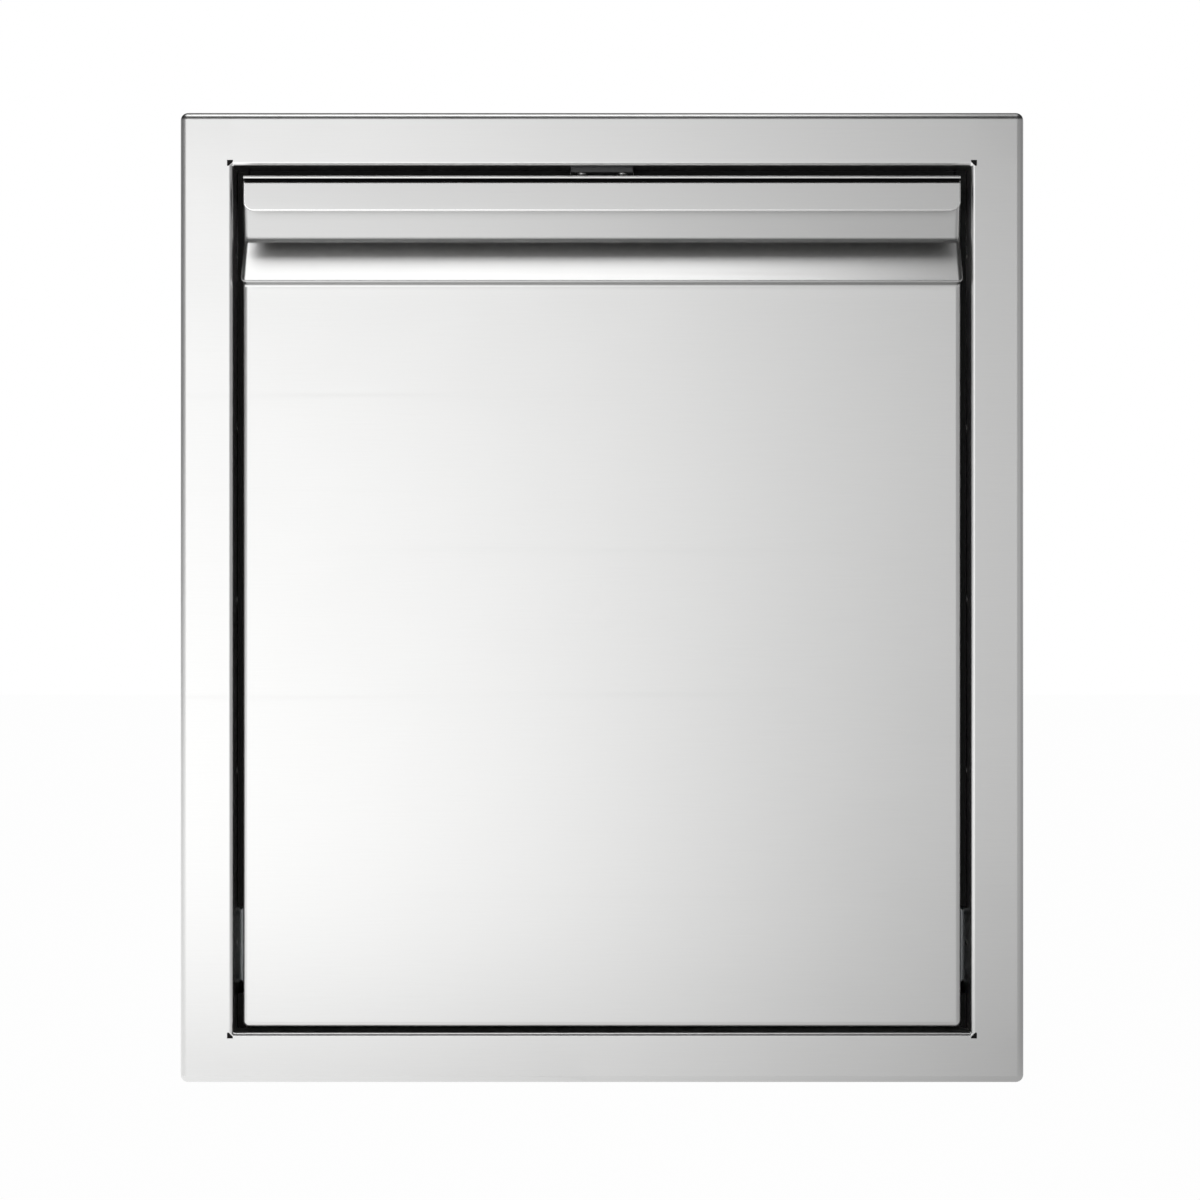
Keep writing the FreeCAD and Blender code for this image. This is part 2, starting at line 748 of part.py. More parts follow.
frame_rivet_seats = [(((case_inside + case_metal) * side, rivet_line, up), (side, 0, 0))
                     for label, side in SIDES for up in frame_rivet_heights]
keep(fastener_group("frame_rivets", flush_rivet, frame_rivet_seats), "frame_rivets")

# The housing: two folded sides, a floor, a back and two cross bars, open at the top
bar_front = return_back + sheet_pair / 2
bar_back = bar_front + named("bar_width")
bar_top = case_top - case_metal
bar_bottom = bar_top - named("bar_height")
back_bar_back = case_back - case_metal * 2 - named("sheet_play")
back_bar_front = back_bar_back - named("bar_width") * 2
bar_middle_height = (bar_top + bar_bottom) / 2
flange_middle = named("case_flange") / 2 + case_metal / 2
floor_rivet_depths = [case_back * share for share in FLOOR_RIVET_SHARES]
back_rivet_heights = [opening_bottom + opening_height * share for share in BACK_RIVET_SHARES]
bar_depths = [(bar_front + bar_back) / 2, (back_bar_front + back_bar_back) / 2]
mounting_places = [(named("mounting_setback") + named("mounting_depth") * along,
                    opening_bottom + named("mounting_rise") + named("mounting_height") * up)
                   for along in (0, 1) for up in (0, 1)]

housing_seats = []
for label, side in SIDES:
    low, high = mirrored_box(side, case_inside + case_metal - named("case_flange"), case_inside + case_metal,
                             case_start, case_back, case_bottom, case_top)
    panel = folded_pan(f"side_panel_{label}_sheet", low, high, TOWARDS[label], ("-z", "+z", "+y"),
                       case_metal, named("case_bend"))
    wall = case_inside * side
    inside = (case_inside - case_metal) * side
    panel = drilled(f"side_panel_{label}_riveted", panel,
                    [(inside, rivet_line, up) for up in frame_rivet_heights], (side, 0, 0),
                    rivet_hole, drill_length)
    panel = drilled(f"side_panel_{label}_barred", panel,
                    [(inside, depth, bar_middle_height) for depth in bar_depths], (side, 0, 0),
                    rivet_hole, drill_length)
    panel = drilled(f"side_panel_{label}_floored", panel,
                    [((case_inside - flange_middle) * side, depth, case_bottom - case_metal)
                     for depth in floor_rivet_depths], (0, 0, 1), rivet_hole, case_metal * CUTTER_SHEETS)
    panel = drilled(f"side_panel_{label}_backed", panel,
                    [((case_inside - flange_middle) * side, case_back + case_metal, up)
                     for up in back_rivet_heights], (0, -1, 0), rivet_hole, case_metal * CUTTER_SHEETS)
    panel = drilled(f"side_panel_{label}_slotted", panel,
                    slide_screw_places(side, case_inside - case_metal), (side, 0, 0),
                    hole_radius, drill_length)
    panel = drilled(f"side_panel_{label}", panel,
                    [(inside, depth, up) for depth, up in mounting_places], (side, 0, 0),
                    named("mounting_hole"), drill_length)
    keep(panel, f"side_panel_{label}")
    housing_seats += [(((case_inside - flange_middle) * side, depth, case_bottom), (0, 0, -1))
                      for depth in floor_rivet_depths]
    housing_seats += [(((case_inside - flange_middle) * side, case_back, up), (0, 1, 0))
                      for up in back_rivet_heights]
    housing_seats += [(((case_inside + case_metal) * side, depth, bar_middle_height), (side, 0, 0))
                      for depth in bar_depths]
keep(fastener_group("housing_rivets", rivet, housing_seats), "housing_rivets")

half_sheet = case_inside - named("sheet_play")
rivet_columns = [(case_inside - flange_middle) * side for label, side in SIDES]

floor_sheet = new_body("floor_panel_sheet")
add_slab(floor_sheet, "floor_plate", "z",
         [rectangle(-half_sheet, case_start, half_sheet, case_back - case_metal * 2 - named("sheet_play"))],
         floor_top - case_metal, floor_top)
floor_panel = drilled("floor_panel", floor_sheet,
                      [(across, depth, floor_top - case_metal * 2) for across in rivet_columns
                       for depth in floor_rivet_depths], (0, 0, 1), rivet_hole, case_metal * CUTTER_SHEETS)
keep(floor_panel, "floor_panel")

rear_sheet = new_body("rear_panel_sheet")
add_slab(rear_sheet, "rear_plate", "y",
         [rectangle(-half_sheet, floor_top, half_sheet, case_top - case_metal - named("sheet_play"))],
         case_back - case_metal * 2, case_back - case_metal)
rear_panel = drilled("rear_panel", rear_sheet,
                     [(across, case_back, up) for across in rivet_columns for up in back_rivet_heights],
                     (0, -1, 0), rivet_hole, case_metal * CUTTER_SHEETS)
keep(rear_panel, "rear_panel")

bars = (("front_cross_bar", bar_front, bar_back), ("rear_cross_bar", back_bar_front, back_bar_back))
for name, near, far in bars:
    bar = folded_pan(f"{name}_channel", (-case_inside, near, bar_bottom), (case_inside, far, bar_top),
                     "-z", ("-x", "+x", "-y", "+y"), case_metal, named("case_bend"))
    holes = [((case_inside - case_metal * 2) * side, (near + far) / 2, bar_middle_height)
             for label, side in SIDES]
    bar = drilled(f"{name}_left", bar, holes[:1], (-1, 0, 0), rivet_hole, case_metal * CUTTER_SHEETS)
    bar = drilled(name, bar, holes[1:], (1, 0, 0), rivet_hole, case_metal * CUTTER_SHEETS)
    keep(bar, name)

# Black seal strips inside the frame's returns, clear of the slides and the catch
seal_back = named("seal_front") + named("seal_depth")
seal_inside = half_opening - named("seal_width")
slide_half = named("slide_height") / 2 + named("seal_room")
side_runs = ((opening_bottom, slide_level - slide_half), (slide_level + slide_half, opening_top))
seals = []
for label, side in SIDES:
    for low_level, high_level in side_runs:
        low, high = mirrored_box(side, seal_inside, half_opening, named("seal_front"), seal_back,
                                 low_level, high_level)
        seal = new_body(f"side_seal_{len(seals) + 1}")
        add_slab(seal, "side_strip", "z", [rectangle(low[0], low[1], high[0], high[1])], low_level, high_level)
        round_edges(seal, "side_strip_nose", named("seal_round"),
                    lambda edge: lies(edge, "z", {"x": seal_inside * side, "y": named("seal_front")}))
        seals.append(seal)
    near, far = named("catch_width") / 2 + named("seal_play"), seal_inside - named("seal_play")
    low, high = mirrored_box(side, near, far, named("seal_front"), seal_back,
                             opening_top - named("seal_height"), opening_top)
    seal = new_body(f"top_seal_{len(seals) + 1}")
    add_slab(seal, "top_strip", "x", [rectangle(low[1], low[2], high[1], high[2])], low[0], high[0])
    round_edges(seal, "top_strip_nose", named("seal_round"),
                lambda edge: lies(edge, "x", {"y": named("seal_front"), "z": low[2]}))
    seals.append(seal)
keep(coded_part("dust_seals", Part.makeCompound([seal.Shape for seal in seals])), "dust_seals")

# The magnetic catch under the frame's top return
catch_half = named("catch_width") / 2
catch_seat = opening_top - named("catch_plate")
catch_front = face_plane + named("catch_reach")
catch_back = return_back
block_front = catch_back - named("catch_depth")
slot_height = named("magnet_metal") + named("pole_metal") * 2
slot_middle = front_top - named("strike_height") / 2 - named("sheet_play")
half_magnet = named("magnet_width") / 2
slot_back = catch_back - face_metal
strike_face = front_back + named("strike_metal")

catch_body = new_body("catch_housing_moulding")
add_slab(catch_body, "catch_plate", "y", [rectangle(-catch_half, catch_seat, catch_half, opening_top)],
         catch_front, catch_back)
add_slab(catch_body, "catch_block", "y",
         [rectangle(-catch_half, opening_top - named("catch_drop"), catch_half, catch_seat)],
         block_front, catch_back)
add_slab(catch_body, "catch_slot", "y",
         [rectangle(-half_magnet, slot_middle - slot_height / 2, half_magnet, slot_middle + slot_height / 2)],
         block_front, slot_back, cut=True)
round_edges(catch_body, "catch_corners", named("catch_corner"),
            lambda edge: any(lies(edge, "z", {"y": level, "x": across})
                             for level in (catch_front, block_front) for across in (catch_half, -catch_half)))
catch_housing = drilled("catch_housing", catch_body,
                        [(across, depth, up - named("catch_plate") / 2) for across, depth, up in catch_screw_places],
                        (0, 0, 1), hole_radius, named("catch_plate") * 2)
keep(catch_housing, "catch_housing")

magnet = new_body("catch_magnet")
add_slab(magnet, "magnet_bar", "y",
         [rectangle(-half_magnet, slot_middle - named("magnet_metal") / 2,
                    half_magnet, slot_middle + named("magnet_metal") / 2)],
         strike_face + named("magnet_play"), slot_back)
keep(magnet, "catch_magnet")

poles = []
for side in (-1, 1):
    near = slot_middle + named("magnet_metal") / 2 * side
    far = near + named("pole_metal") * side
    pole = new_body(f"pole_plate_{'lower' if side < 0 else 'upper'}")
    add_slab(pole, "pole_strip", "y",
             [rectangle(-half_magnet, near if side > 0 else far, half_magnet, far if side > 0 else near)],
             strike_face + named("catch_play"), slot_back)
    poles.append(pole)
keep(coded_part("catch_pole_plates", Part.makeCompound([pole.Shape for pole in poles])), "catch_pole_plates")
catch_seats = [(place, (0, 0, -1)) for place in catch_screw_places]
keep(fastener_group("catch_screws", screw, catch_seats), "catch_screws")

# The ball slides, their screws and their rubber buffers
outer_seats = []
inner_seats = []
buffers = []
for label, side in SIDES:
    outer, inner, slide_metal, inner_web = make_slide(label, side)
    outer_places = slide_screw_places(side, case_inside - slide_metal)
    outer = drilled(f"slide_outer_{label}", outer,
                    slide_screw_places(side, case_inside - slide_metal * 2), (side, 0, 0),
                    hole_radius, slide_metal * CUTTER_SHEETS)
    keep(outer, f"slide_outer_{label}")
    outer_seats += [(place, (-side, 0, 0)) for place in outer_places]
    inner_places = slide_screw_places(side, case_inside - inner_web)
    inner = drilled(f"slide_inner_{label}", inner,
                    slide_screw_places(side, case_inside - inner_web + slide_metal), (-side, 0, 0),
                    hole_radius, slide_metal * CUTTER_SHEETS)
    keep(inner, f"slide_inner_{label}")
    inner_seats += [(place, (side, 0, 0)) for place in inner_places]
    low, high = mirrored_box(side, case_inside - inner_web, case_inside - slide_metal,
                             slide_back + named("slide_play"), slide_back + named("buffer_length"),
                             slide_level - named("buffer_height") / 2, slide_level + named("buffer_height") / 2)
    buffer = doc.addObject("Part::Box", f"slide_buffer_{label}")
    bind(buffer, "Length", high[0] - low[0])
    bind(buffer, "Width", high[1] - low[1])
    bind(buffer, "Height", high[2] - low[2])
    bind(buffer, "Placement.Base.x", low[0])
    bind(buffer, "Placement.Base.y", low[1])
    bind(buffer, "Placement.Base.z", low[2])
    doc.recompute()
    buffers.append(buffer)
keep(coded_part("slide_buffers", Part.makeCompound([buffer.Shape for buffer in buffers])), "slide_buffers")
keep(fastener_group("slide_outer_screws", screw, outer_seats), "slide_outer_screws")
keep(fastener_group("slide_inner_screws", screw, inner_seats), "slide_inner_screws")

# The front: outer sheet, liner, stiffeners and strike plate
keep(make_front_panel(), "front_panel")

liner_metal = named("liner_metal")
half_liner = half_front - face_metal
liner_front = recess_wall + face_metal
tray_screw_places = [(half_tray * share, slide_level) for share in TRAY_SCREW_SHARES]
bracket_screw_across = half_tray - carrier_metal - named("bracket_flange") / 2
bracket_levels = [tray_top + (named("bracket_rise") - named("tray_wall")) * share
                  for share in BRACKET_SCREW_SHARES]
bracket_screw_places = [(bracket_screw_across * side, up) for label, side in SIDES for up in bracket_levels]
strike_screw_places = [(named("strike_width") * share, slot_middle) for share in STRIKE_SCREW_SHARES]

liner = folded_pan("front_liner_pan", (-half_liner, liner_front, front_bottom + face_metal),
                   (half_liner, front_back, front_top), "-y", ("-x", "+x", "-z", "+z"),
                   liner_metal, inner_bend, round_corners=True)
liner_holes = tray_screw_places + bracket_screw_places + strike_screw_places
front_liner = drilled("front_liner", liner,
                      [(across, front_back + liner_metal, up) for across, up in liner_holes],
                      (0, -1, 0), hole_radius, liner_metal * CUTTER_SHEETS)
keep(front_liner, "front_liner")

hollow_front = face_plane + face_metal
hollow_back = front_back - liner_metal
main_height = ridge_level - front_bottom
half_stiffener = named("stiffener_length") / 2
channels = []
for share in STIFFENER_SHARES:
    level = front_bottom + main_height * share
    low = (-half_stiffener, hollow_front, level - named("stiffener_width") / 2)
    high = (half_stiffener, hollow_back, level + named("stiffener_width") / 2)
    channels.append(folded_pan(f"stiffener_{len(channels) + 1}", low, high, "+y", ("-z", "+z"),
                               liner_metal, named("case_bend")))
keep(coded_part("front_stiffeners", Part.makeCompound([channel.Shape for channel in channels])),
     "front_stiffeners")

half_strike = named("strike_width") / 2
strike_body = new_body("strike_plate_blank")
add_slab(strike_body, "strike_blank", "y",
         [rectangle(-half_strike, slot_middle - named("strike_height") / 2,
                    half_strike, slot_middle + named("strike_height") / 2)],
         front_back, strike_face)
strike_plate = drilled("strike_plate", strike_body,
                       [(across, strike_face + liner_metal, up) for across, up in strike_screw_places],
                       (0, -1, 0), hole_radius, liner_metal * CUTTER_SHEETS)
keep(strike_plate, "strike_plate")
strike_seats = [((across, strike_face, up), (0, 1, 0)) for across, up in strike_screw_places]
keep(fastener_group("strike_screws", screw, strike_seats), "strike_screws")

# The carrier: a tray between the slides, two brackets up the back of the front, and the bin rack
rack_lap_middle = tray_top - named("rack_lap") / 2
rack_screw_depths = [front_back + (tray_back - front_back) * share for share in RACK_SCREW_SHARES]
bracket_pin_depth = front_back + named("bracket_depth") / 2 + carrier_metal
tray_front_inside = front_back + carrier_metal

tray = folded_pan("carrier_tray_pan", (-half_tray, front_back, tray_bottom), (half_tray, tray_back, tray_top),
                  "+z", ("-x", "+x", "-y", "+y"), carrier_metal, named("carrier_bend"))
tray = drilled("carrier_tray_fronted", tray,
               [(across, tray_front_inside + carrier_metal, up) for across, up in tray_screw_places],
               (0, -1, 0), hole_radius, carrier_metal * CUTTER_SHEETS)
for label, side in SIDES:
    tray = drilled(f"carrier_tray_racked_{label}", tray,
                   [((half_tray - carrier_metal * 2) * side, depth, rack_lap_middle)
                    for depth in rack_screw_depths] +
                   [((half_tray - carrier_metal * 2) * side, bracket_pin_depth, rack_lap_middle)],
                   (side, 0, 0), hole_radius, carrier_metal * CUTTER_SHEETS)
    tray = drilled("carrier_tray" if side > 0 else "carrier_tray_slid_left", tray,
                   slide_screw_places(side, half_tray - carrier_metal * 2), (side, 0, 0),
                   hole_radius, carrier_metal * CUTTER_SHEETS)
keep(tray, "carrier_tray")

front_seats = [((across, tray_front_inside, up), (0, 1, 0)) for across, up in tray_screw_places]
front_seats += [((across, tray_front_inside, up), (0, 1, 0)) for across, up in bracket_screw_places]
rack_seats = []
for label, side in SIDES:
    near = half_tray - carrier_metal * 2
    far = half_tray - carrier_metal
    bracket_back = front_back + named("bracket_depth")
    foot = tray_top - named("rack_lap") * 2
    head = tray_bottom + named("bracket_rise")
    jog = tray_top + named("slide_play")
    web = [
        (tray_front_inside + named("carrier_bend"), foot),
        (bracket_back, foot),
        (bracket_back, head - named("bracket_depth")),
        (tray_front_inside, head),
        (front_back, head),
        (front_back, jog),
        (tray_front_inside + named("carrier_bend"), jog),
    ]
    plate = new_body(f"front_bracket_{label}_plate")
    low_x, high_x = (near, far) if side > 0 else (-far, -near)
    add_slab(plate, "bracket_web", "x", [web], low_x, high_x)
    inner_edge = far - named("bracket_flange")
    low_x, high_x = (inner_edge, far) if side > 0 else (-far, -inner_edge)
    add_slab(plate, "bracket_flange", "y", [rectangle(low_x, jog, high_x, head)],
             front_back, tray_front_inside)
    plate = drilled(f"front_bracket_{label}_webbed", plate,
                    [((near - carrier_metal) * side, bracket_pin_depth, rack_lap_middle)],
                    (side, 0, 0), hole_radius, carrier_metal * CUTTER_SHEETS)
    plate = drilled(f"front_bracket_{label}", plate,
                    [(bracket_screw_across * side, tray_front_inside + carrier_metal, up)
                     for up in bracket_levels], (0, -1, 0), hole_radius, carrier_metal * CUTTER_SHEETS)
    keep(plate, f"front_bracket_{label}")
    front_seats.append(((half_tray * side, bracket_pin_depth, rack_lap_middle), (side, 0, 0)))
    rack_seats += [((half_tray * side, depth, rack_lap_middle), (side, 0, 0))
                   for depth in rack_screw_depths]
keep(fastener_group("front_screws", screw, front_seats), "front_screws")
keep(fastener_group("rack_screws", screw, rack_seats), "rack_screws")

bin_run = tray_back - named("bin_end_room") - front_back - named("bin_setback")
bin_pitch = (bin_run + named("bin_spacing")) / 2
bin_length = bin_pitch - named("bin_spacing") - named("bin_rim") * 2
first_bin = front_back + named("bin_setback") + named("bin_rim") + bin_length / 2
bin_centres = (first_bin, first_bin + bin_pitch)
bin_floor = tray_floor
bin_top = bin_floor + named("bin_height")
rack_share = (rack_top - bin_floor) / named("bin_height")
taper_at_rack = named("bin_taper") * (as_size(1) - rack_share)
half_hole_width = named("bin_width") / 2 - taper_at_rack + named("bin_play")
half_hole_length = bin_length / 2 - taper_at_rack + named("bin_play")

half_rack = half_tray - carrier_metal
rack = folded_pan("bin_rack_pan", (-half_rack, rack_front, tray_top - named("rack_lap")),
                  (half_rack, tray_back - carrier_metal, rack_top), "-z", ("-x", "+x", "-y", "+y"),
                  carrier_metal, named("carrier_bend"))
hole_radius_at_rack = named("bin_corner") - taper_at_rack / 2 + named("bin_play")
for index, centre in enumerate(bin_centres, start=1):
    hole = new_body(f"bin_hole_{index}")
    corners = rectangle(-half_hole_width, centre - half_hole_length,
                        half_hole_width, centre + half_hole_length)
    add_slab(hole, f"bin_hole_{index}_slab", "z", [corners], rack_top - carrier_metal * 2,
             rack_top + carrier_metal, corner=hole_radius_at_rack)
    rack = cut_out(f"bin_rack_holed_{index}", rack, hole)
for label, side in SIDES:
    rack = drilled("bin_rack" if side > 0 else "bin_rack_left", rack,
                   [((half_rack - carrier_metal * 2) * side, depth, rack_lap_middle)
                    for depth in rack_screw_depths], (side, 0, 0), hole_radius, carrier_metal * CUTTER_SHEETS)
keep(rack, "bin_rack")


def bin_outline(centre, inset):
    half_width = named("bin_width") / 2 - inset
    half_length = bin_length / 2 - inset
    return rectangle(-half_width, centre - half_length, half_width, centre + half_length)


def tapered_block(name, centre, low_inset, high_inset, low_level, high_level, corner):
    # A block that widens upwards, with rounded corners
    body = new_body(name)
    sections = []
    for part_name, inset, level in (("foot", low_inset, low_level), ("mouth", high_inset, high_level)):
        sketch = new_sketch(body, f"{name}_{part_name}", "z", level)
        outline = bin_outline(centre, inset)
        draw_rounded(sketch, *outline[0], *outline[2], corner)
        sections.append(sketch)
    loft = body.newObject("PartDesign::AdditiveLoft", f"{name}_walls")
    loft.Profile = sections[0]
    loft.Sections = sections[1:]
    loft.Ruled = True
    doc.recompute()
    return body


def make_bin(name, centre):
    # A tapered moulded bin with rounded corners and a flat rim
    taper = named("bin_taper")
    wall = named("bin_wall")
    rim = named("bin_rim")
    corner = named("bin_corner")
    rise = named("bin_height") - wall
    inner_taper = taper * (rise / named("bin_height"))
    body = tapered_block(f"{name}_block", centre, taper, zero, bin_floor, bin_top, corner)
    add_slab(body, f"{name}_rim", "z", [bin_outline(centre, -rim)],
             bin_top - named("bin_rim_height"), bin_top, corner=corner + rim)
    hollow = tapered_block(f"{name}_hollow", centre, wall + inner_taper, wall, bin_floor + wall, bin_top,
                           corner - wall)
    return cut_out(name, body, hollow)


for name, centre in zip(("front_bin", "rear_bin"), bin_centres):
    keep(make_bin(name, centre), name)

# Checks on the document and the pieces, then one STEP file for each piece
doc.recompute()
for item in doc.Objects:
    if "Invalid" in item.State or "Error" in item.State:
        raise ValueError(f"{item.Label} failed: {item.State}")
for node in nodes:
    if node.Shape.isNull() or not node.Shape.isValid():
        raise ValueError(f"{node.Label} has no valid shape")
if len({node.Label for node in nodes}) != len(nodes):
    raise ValueError("two pieces share a name")
for node in nodes:
    node.Shape.exportStep(f"parts/{node.Label}.step")
    print(node.Label, len(node.Shape.Solids), round(node.Shape.Volume))
print(len(nodes), "pieces")
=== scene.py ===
import bpy
import json
import math
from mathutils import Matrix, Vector


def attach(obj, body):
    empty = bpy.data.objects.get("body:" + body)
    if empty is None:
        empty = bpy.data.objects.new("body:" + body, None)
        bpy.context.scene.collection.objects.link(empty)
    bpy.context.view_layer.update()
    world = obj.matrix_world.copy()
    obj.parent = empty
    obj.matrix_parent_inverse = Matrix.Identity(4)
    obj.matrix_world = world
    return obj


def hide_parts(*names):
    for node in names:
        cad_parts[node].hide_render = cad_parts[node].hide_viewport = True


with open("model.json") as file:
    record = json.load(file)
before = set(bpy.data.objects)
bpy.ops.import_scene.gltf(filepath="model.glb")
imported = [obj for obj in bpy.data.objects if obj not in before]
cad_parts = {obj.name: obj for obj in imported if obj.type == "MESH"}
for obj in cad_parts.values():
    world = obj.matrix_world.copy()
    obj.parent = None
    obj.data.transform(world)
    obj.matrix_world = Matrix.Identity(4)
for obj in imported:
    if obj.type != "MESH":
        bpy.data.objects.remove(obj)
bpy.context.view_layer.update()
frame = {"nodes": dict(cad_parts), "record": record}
nodes = frame["nodes"]
mm = 0.001


def grey(level):
    return (level, level, level, 1)


class Wire:
    # A shader socket that adds its own Math nodes when Python adds or multiplies it
    def __init__(self, paint, socket):
        self.paint = paint
        self.socket = socket

    def combine(self, operation, left, right):
        return self.paint.add("ShaderNodeMath", {"operation": operation}, {0: left, 1: right})

    def __add__(self, other):
        return self.combine("ADD", self, other)

    def __radd__(self, other):
        return self.combine("ADD", other, self)

    def __sub__(self, other):
        return self.combine("SUBTRACT", self, other)

    def __rsub__(self, other):
        return self.combine("SUBTRACT", other, self)

    def __mul__(self, other):
        return self.combine("MULTIPLY", self, other)

    def __rmul__(self, other):
        return self.combine("MULTIPLY", other, self)


class Paint:
    # A node tree, with one method that adds any node
    def __init__(self, owner):
        owner.use_nodes = True
        self.tree = owner.node_tree
        self.tree.nodes.clear()

    def add(self, kind, settings=None, values=None, output=0):
        node = self.tree.nodes.new(kind)
        for key, value in (settings or {}).items():
            setattr(node, key, value)
        for key, value in (values or {}).items():
            if isinstance(value, Wire):
                self.tree.links.new(value.socket, node.inputs[key])
            else:
                node.inputs[key].default_value = value
        return Wire(self, node.outputs[output]) if len(node.outputs) else node

    def levels(self, value, stops):
        # A ramp through the stops, each a place and a level, eased at every stop
        wire = self.add("ShaderNodeValToRGB", {}, {0: value})
        ramp = wire.socket.node.color_ramp
        ramp.interpolation = "EASE"
        while len(ramp.elements) < len(stops):
            ramp.elements.new(0.5)
        for element, (place, level) in zip(ramp.elements, stops):
            element.position = place
            element.color = grey(level)
        return wire

    def noise(self, place, scale, stretch=(1, 1, 1), detail=2.0, roughness=0.5):
        # Fractal noise on the object's own coordinates, stretched along some of its axes
        laid = self.add("ShaderNodeMapping", {"vector_type": "POINT"}, {"Vector": place, "Scale": stretch})
        return self.add("ShaderNodeTexNoise", {"noise_dimensions": "3D"},
                        {"Vector": laid, "Scale": scale, "Detail": detail, "Roughness": roughness})

    def mixColour(self, factor, first, second):
        return self.add("ShaderNodeMix", {"data_type": "RGBA"}, {0: factor, 6: first, 7: second}, output=2)


def newMaterial(name):
    material = bpy.data.materials.new(name)
    paint = Paint(material)
    place = paint.add("ShaderNodeTexCoord", output="Object")
    return material, paint, place


def finishMaterial(paint, values):
    surface = paint.add("ShaderNodeBsdfPrincipled", {}, values)
    paint.add("ShaderNodeOutputMaterial", {}, {"Surface": surface})


# Noise scales are in waves to the metre, and the grain is drawn out along one axis by its share. Weights
# mix the patterns, and gloss is how far each of them moves the roughness
brushing = {
    "fineScale": 2600, "fineShare": 0.012, "fineWeight": 0.6, "hairScale": 900, "hairShare": 0.05,
    "streakScale": 120, "streakStops": [(0.0, 0), (0.66, 0), (0.8, 1)], "hazeScale": 9,
    "hazeStretch": (1, 1, 1.6), "hazeWeight": 0.5, "hazeGloss": 0.05, "grainGloss": 0.06,
    "streakGloss": 0.03, "depth": 0.2 * mm,
}
speckling = {"cloudScale": 60, "cloudWeight": 0.6, "gloss": 0.12, "bump": 0.05, "depth": 0.2 * mm}
pebbling = {"cloudScale": 14, "cloudWeight": 0.7, "cloudGloss": 0.06, "gloss": 0.14, "bump": 0.3}


def drawnOut(axis, share):
    return tuple(share if letter == axis else 1 for letter in "xyz")


def blend(first, second, weight):
    return first * weight + second * (1 - weight)


def makeBrushedSteel(name, user, grainAlong="x"):
    # Satin stainless sheet: fine grain along one axis, faint hazy clouds and a few rubbed streaks
    material, paint, place = newMaterial(name)
    along = drawnOut(grainAlong, brushing["fineShare"])
    short = drawnOut(grainAlong, brushing["hairShare"])
    fine = paint.noise(place, brushing["fineScale"], along, 2.0, 0.6)
    hairs = paint.noise(place, brushing["hairScale"], short, 3.0, 0.65)
    haze = paint.noise(place, brushing["hazeScale"], brushing["hazeStretch"], 4.0, 0.55)
    streaks = paint.levels(paint.noise(place, brushing["streakScale"], along), brushing["streakStops"])
    grain = blend(fine, hairs, brushing["fineWeight"])
    colour = paint.mixColour(blend(haze, grain, brushing["hazeWeight"]), user["dark"], user["light"])
    rough = user["roughness"] + (haze - 0.5) * brushing["hazeGloss"] \
        + (grain - 0.5) * brushing["grainGloss"] + streaks * brushing["streakGloss"]
    bump = paint.add("ShaderNodeBump", {},
                     {"Strength": user["grainBump"], "Distance": brushing["depth"], "Height": grain})
    finishMaterial(paint, {"Base Color": colour, "Metallic": 1.0, "Roughness": rough, "Normal": bump})
    return material


brushedSteel = {"dark": (0.70, 0.70, 0.695, 1), "light": (0.80, 0.80, 0.795, 1), "roughness": 0.33,
                "grainBump": 0.035}
millSteel = {"dark": (0.52, 0.52, 0.515, 1), "light": (0.66, 0.66, 0.655, 1), "roughness": 0.38,
             "grainBump": 0.03}
# Painted shade: near-black steel for the sheet behind the lip's hem, so the recess under the lip reflects
# dark
sheetBackShade = {"dark": (0.05, 0.05, 0.05, 1), "light": (0.075, 0.075, 0.074, 1), "roughness": 0.5,
             "grainBump": 0.02}
# Painted shade: a darker copy of the face's steel for the recess wall
recessWallShade = {"dark": (0.50, 0.50, 0.497, 1), "light": (0.58, 0.58, 0.576, 1), "roughness": 0.34,
              "grainBump": 0.035}
# Painted highlight: a brighter, glossier copy of the face's steel for the hem's round edge
hemEdgeHighlight = {"dark": (0.93, 0.93, 0.925, 1), "light": (0.97, 0.97, 0.965, 1), "roughness": 0.2,
           "grainBump": 0.02}
# Painted shade: a darker copy of the face's steel for the ridge's underside
ridgeUnderShade = {"dark": (0.34, 0.34, 0.337, 1), "light": (0.42, 0.42, 0.416, 1), "roughness": 0.4,
              "grainBump": 0.03}
# Painted shade: near-black for the faces inside the groove under the lip's strip
grooveShade = {"dark": (0.004, 0.004, 0.004, 1), "light": (0.008, 0.008, 0.008, 1), "roughness": 0.9}
fastenerSteel = {"dark": (0.48, 0.48, 0.475, 1), "light": (0.7, 0.7, 0.69, 1), "roughness": 0.28}
zincPlate = {"dark": (0.50, 0.53, 0.56, 1), "light": (0.70, 0.72, 0.73, 1), "roughness": 0.34}
polishedBall = {"dark": (0.72, 0.72, 0.73, 1), "light": (0.86, 0.86, 0.87, 1), "roughness": 0.08}
catchPlastic = {"dark": (0.085, 0.086, 0.088, 1), "light": (0.13, 0.131, 0.134, 1), "roughness": 0.55}
ferrite = {"dark": (0.02, 0.02, 0.022, 1), "light": (0.045, 0.044, 0.046, 1), "roughness": 0.7}
bufferRubber = {"dark": (0.006, 0.006, 0.006, 1), "light": (0.014, 0.014, 0.014, 1), "roughness": 0.78}
binPlastic = {"dark": (0.10, 0.105, 0.11, 1), "light": (0.135, 0.14, 0.147, 1), "roughness": 0.48}


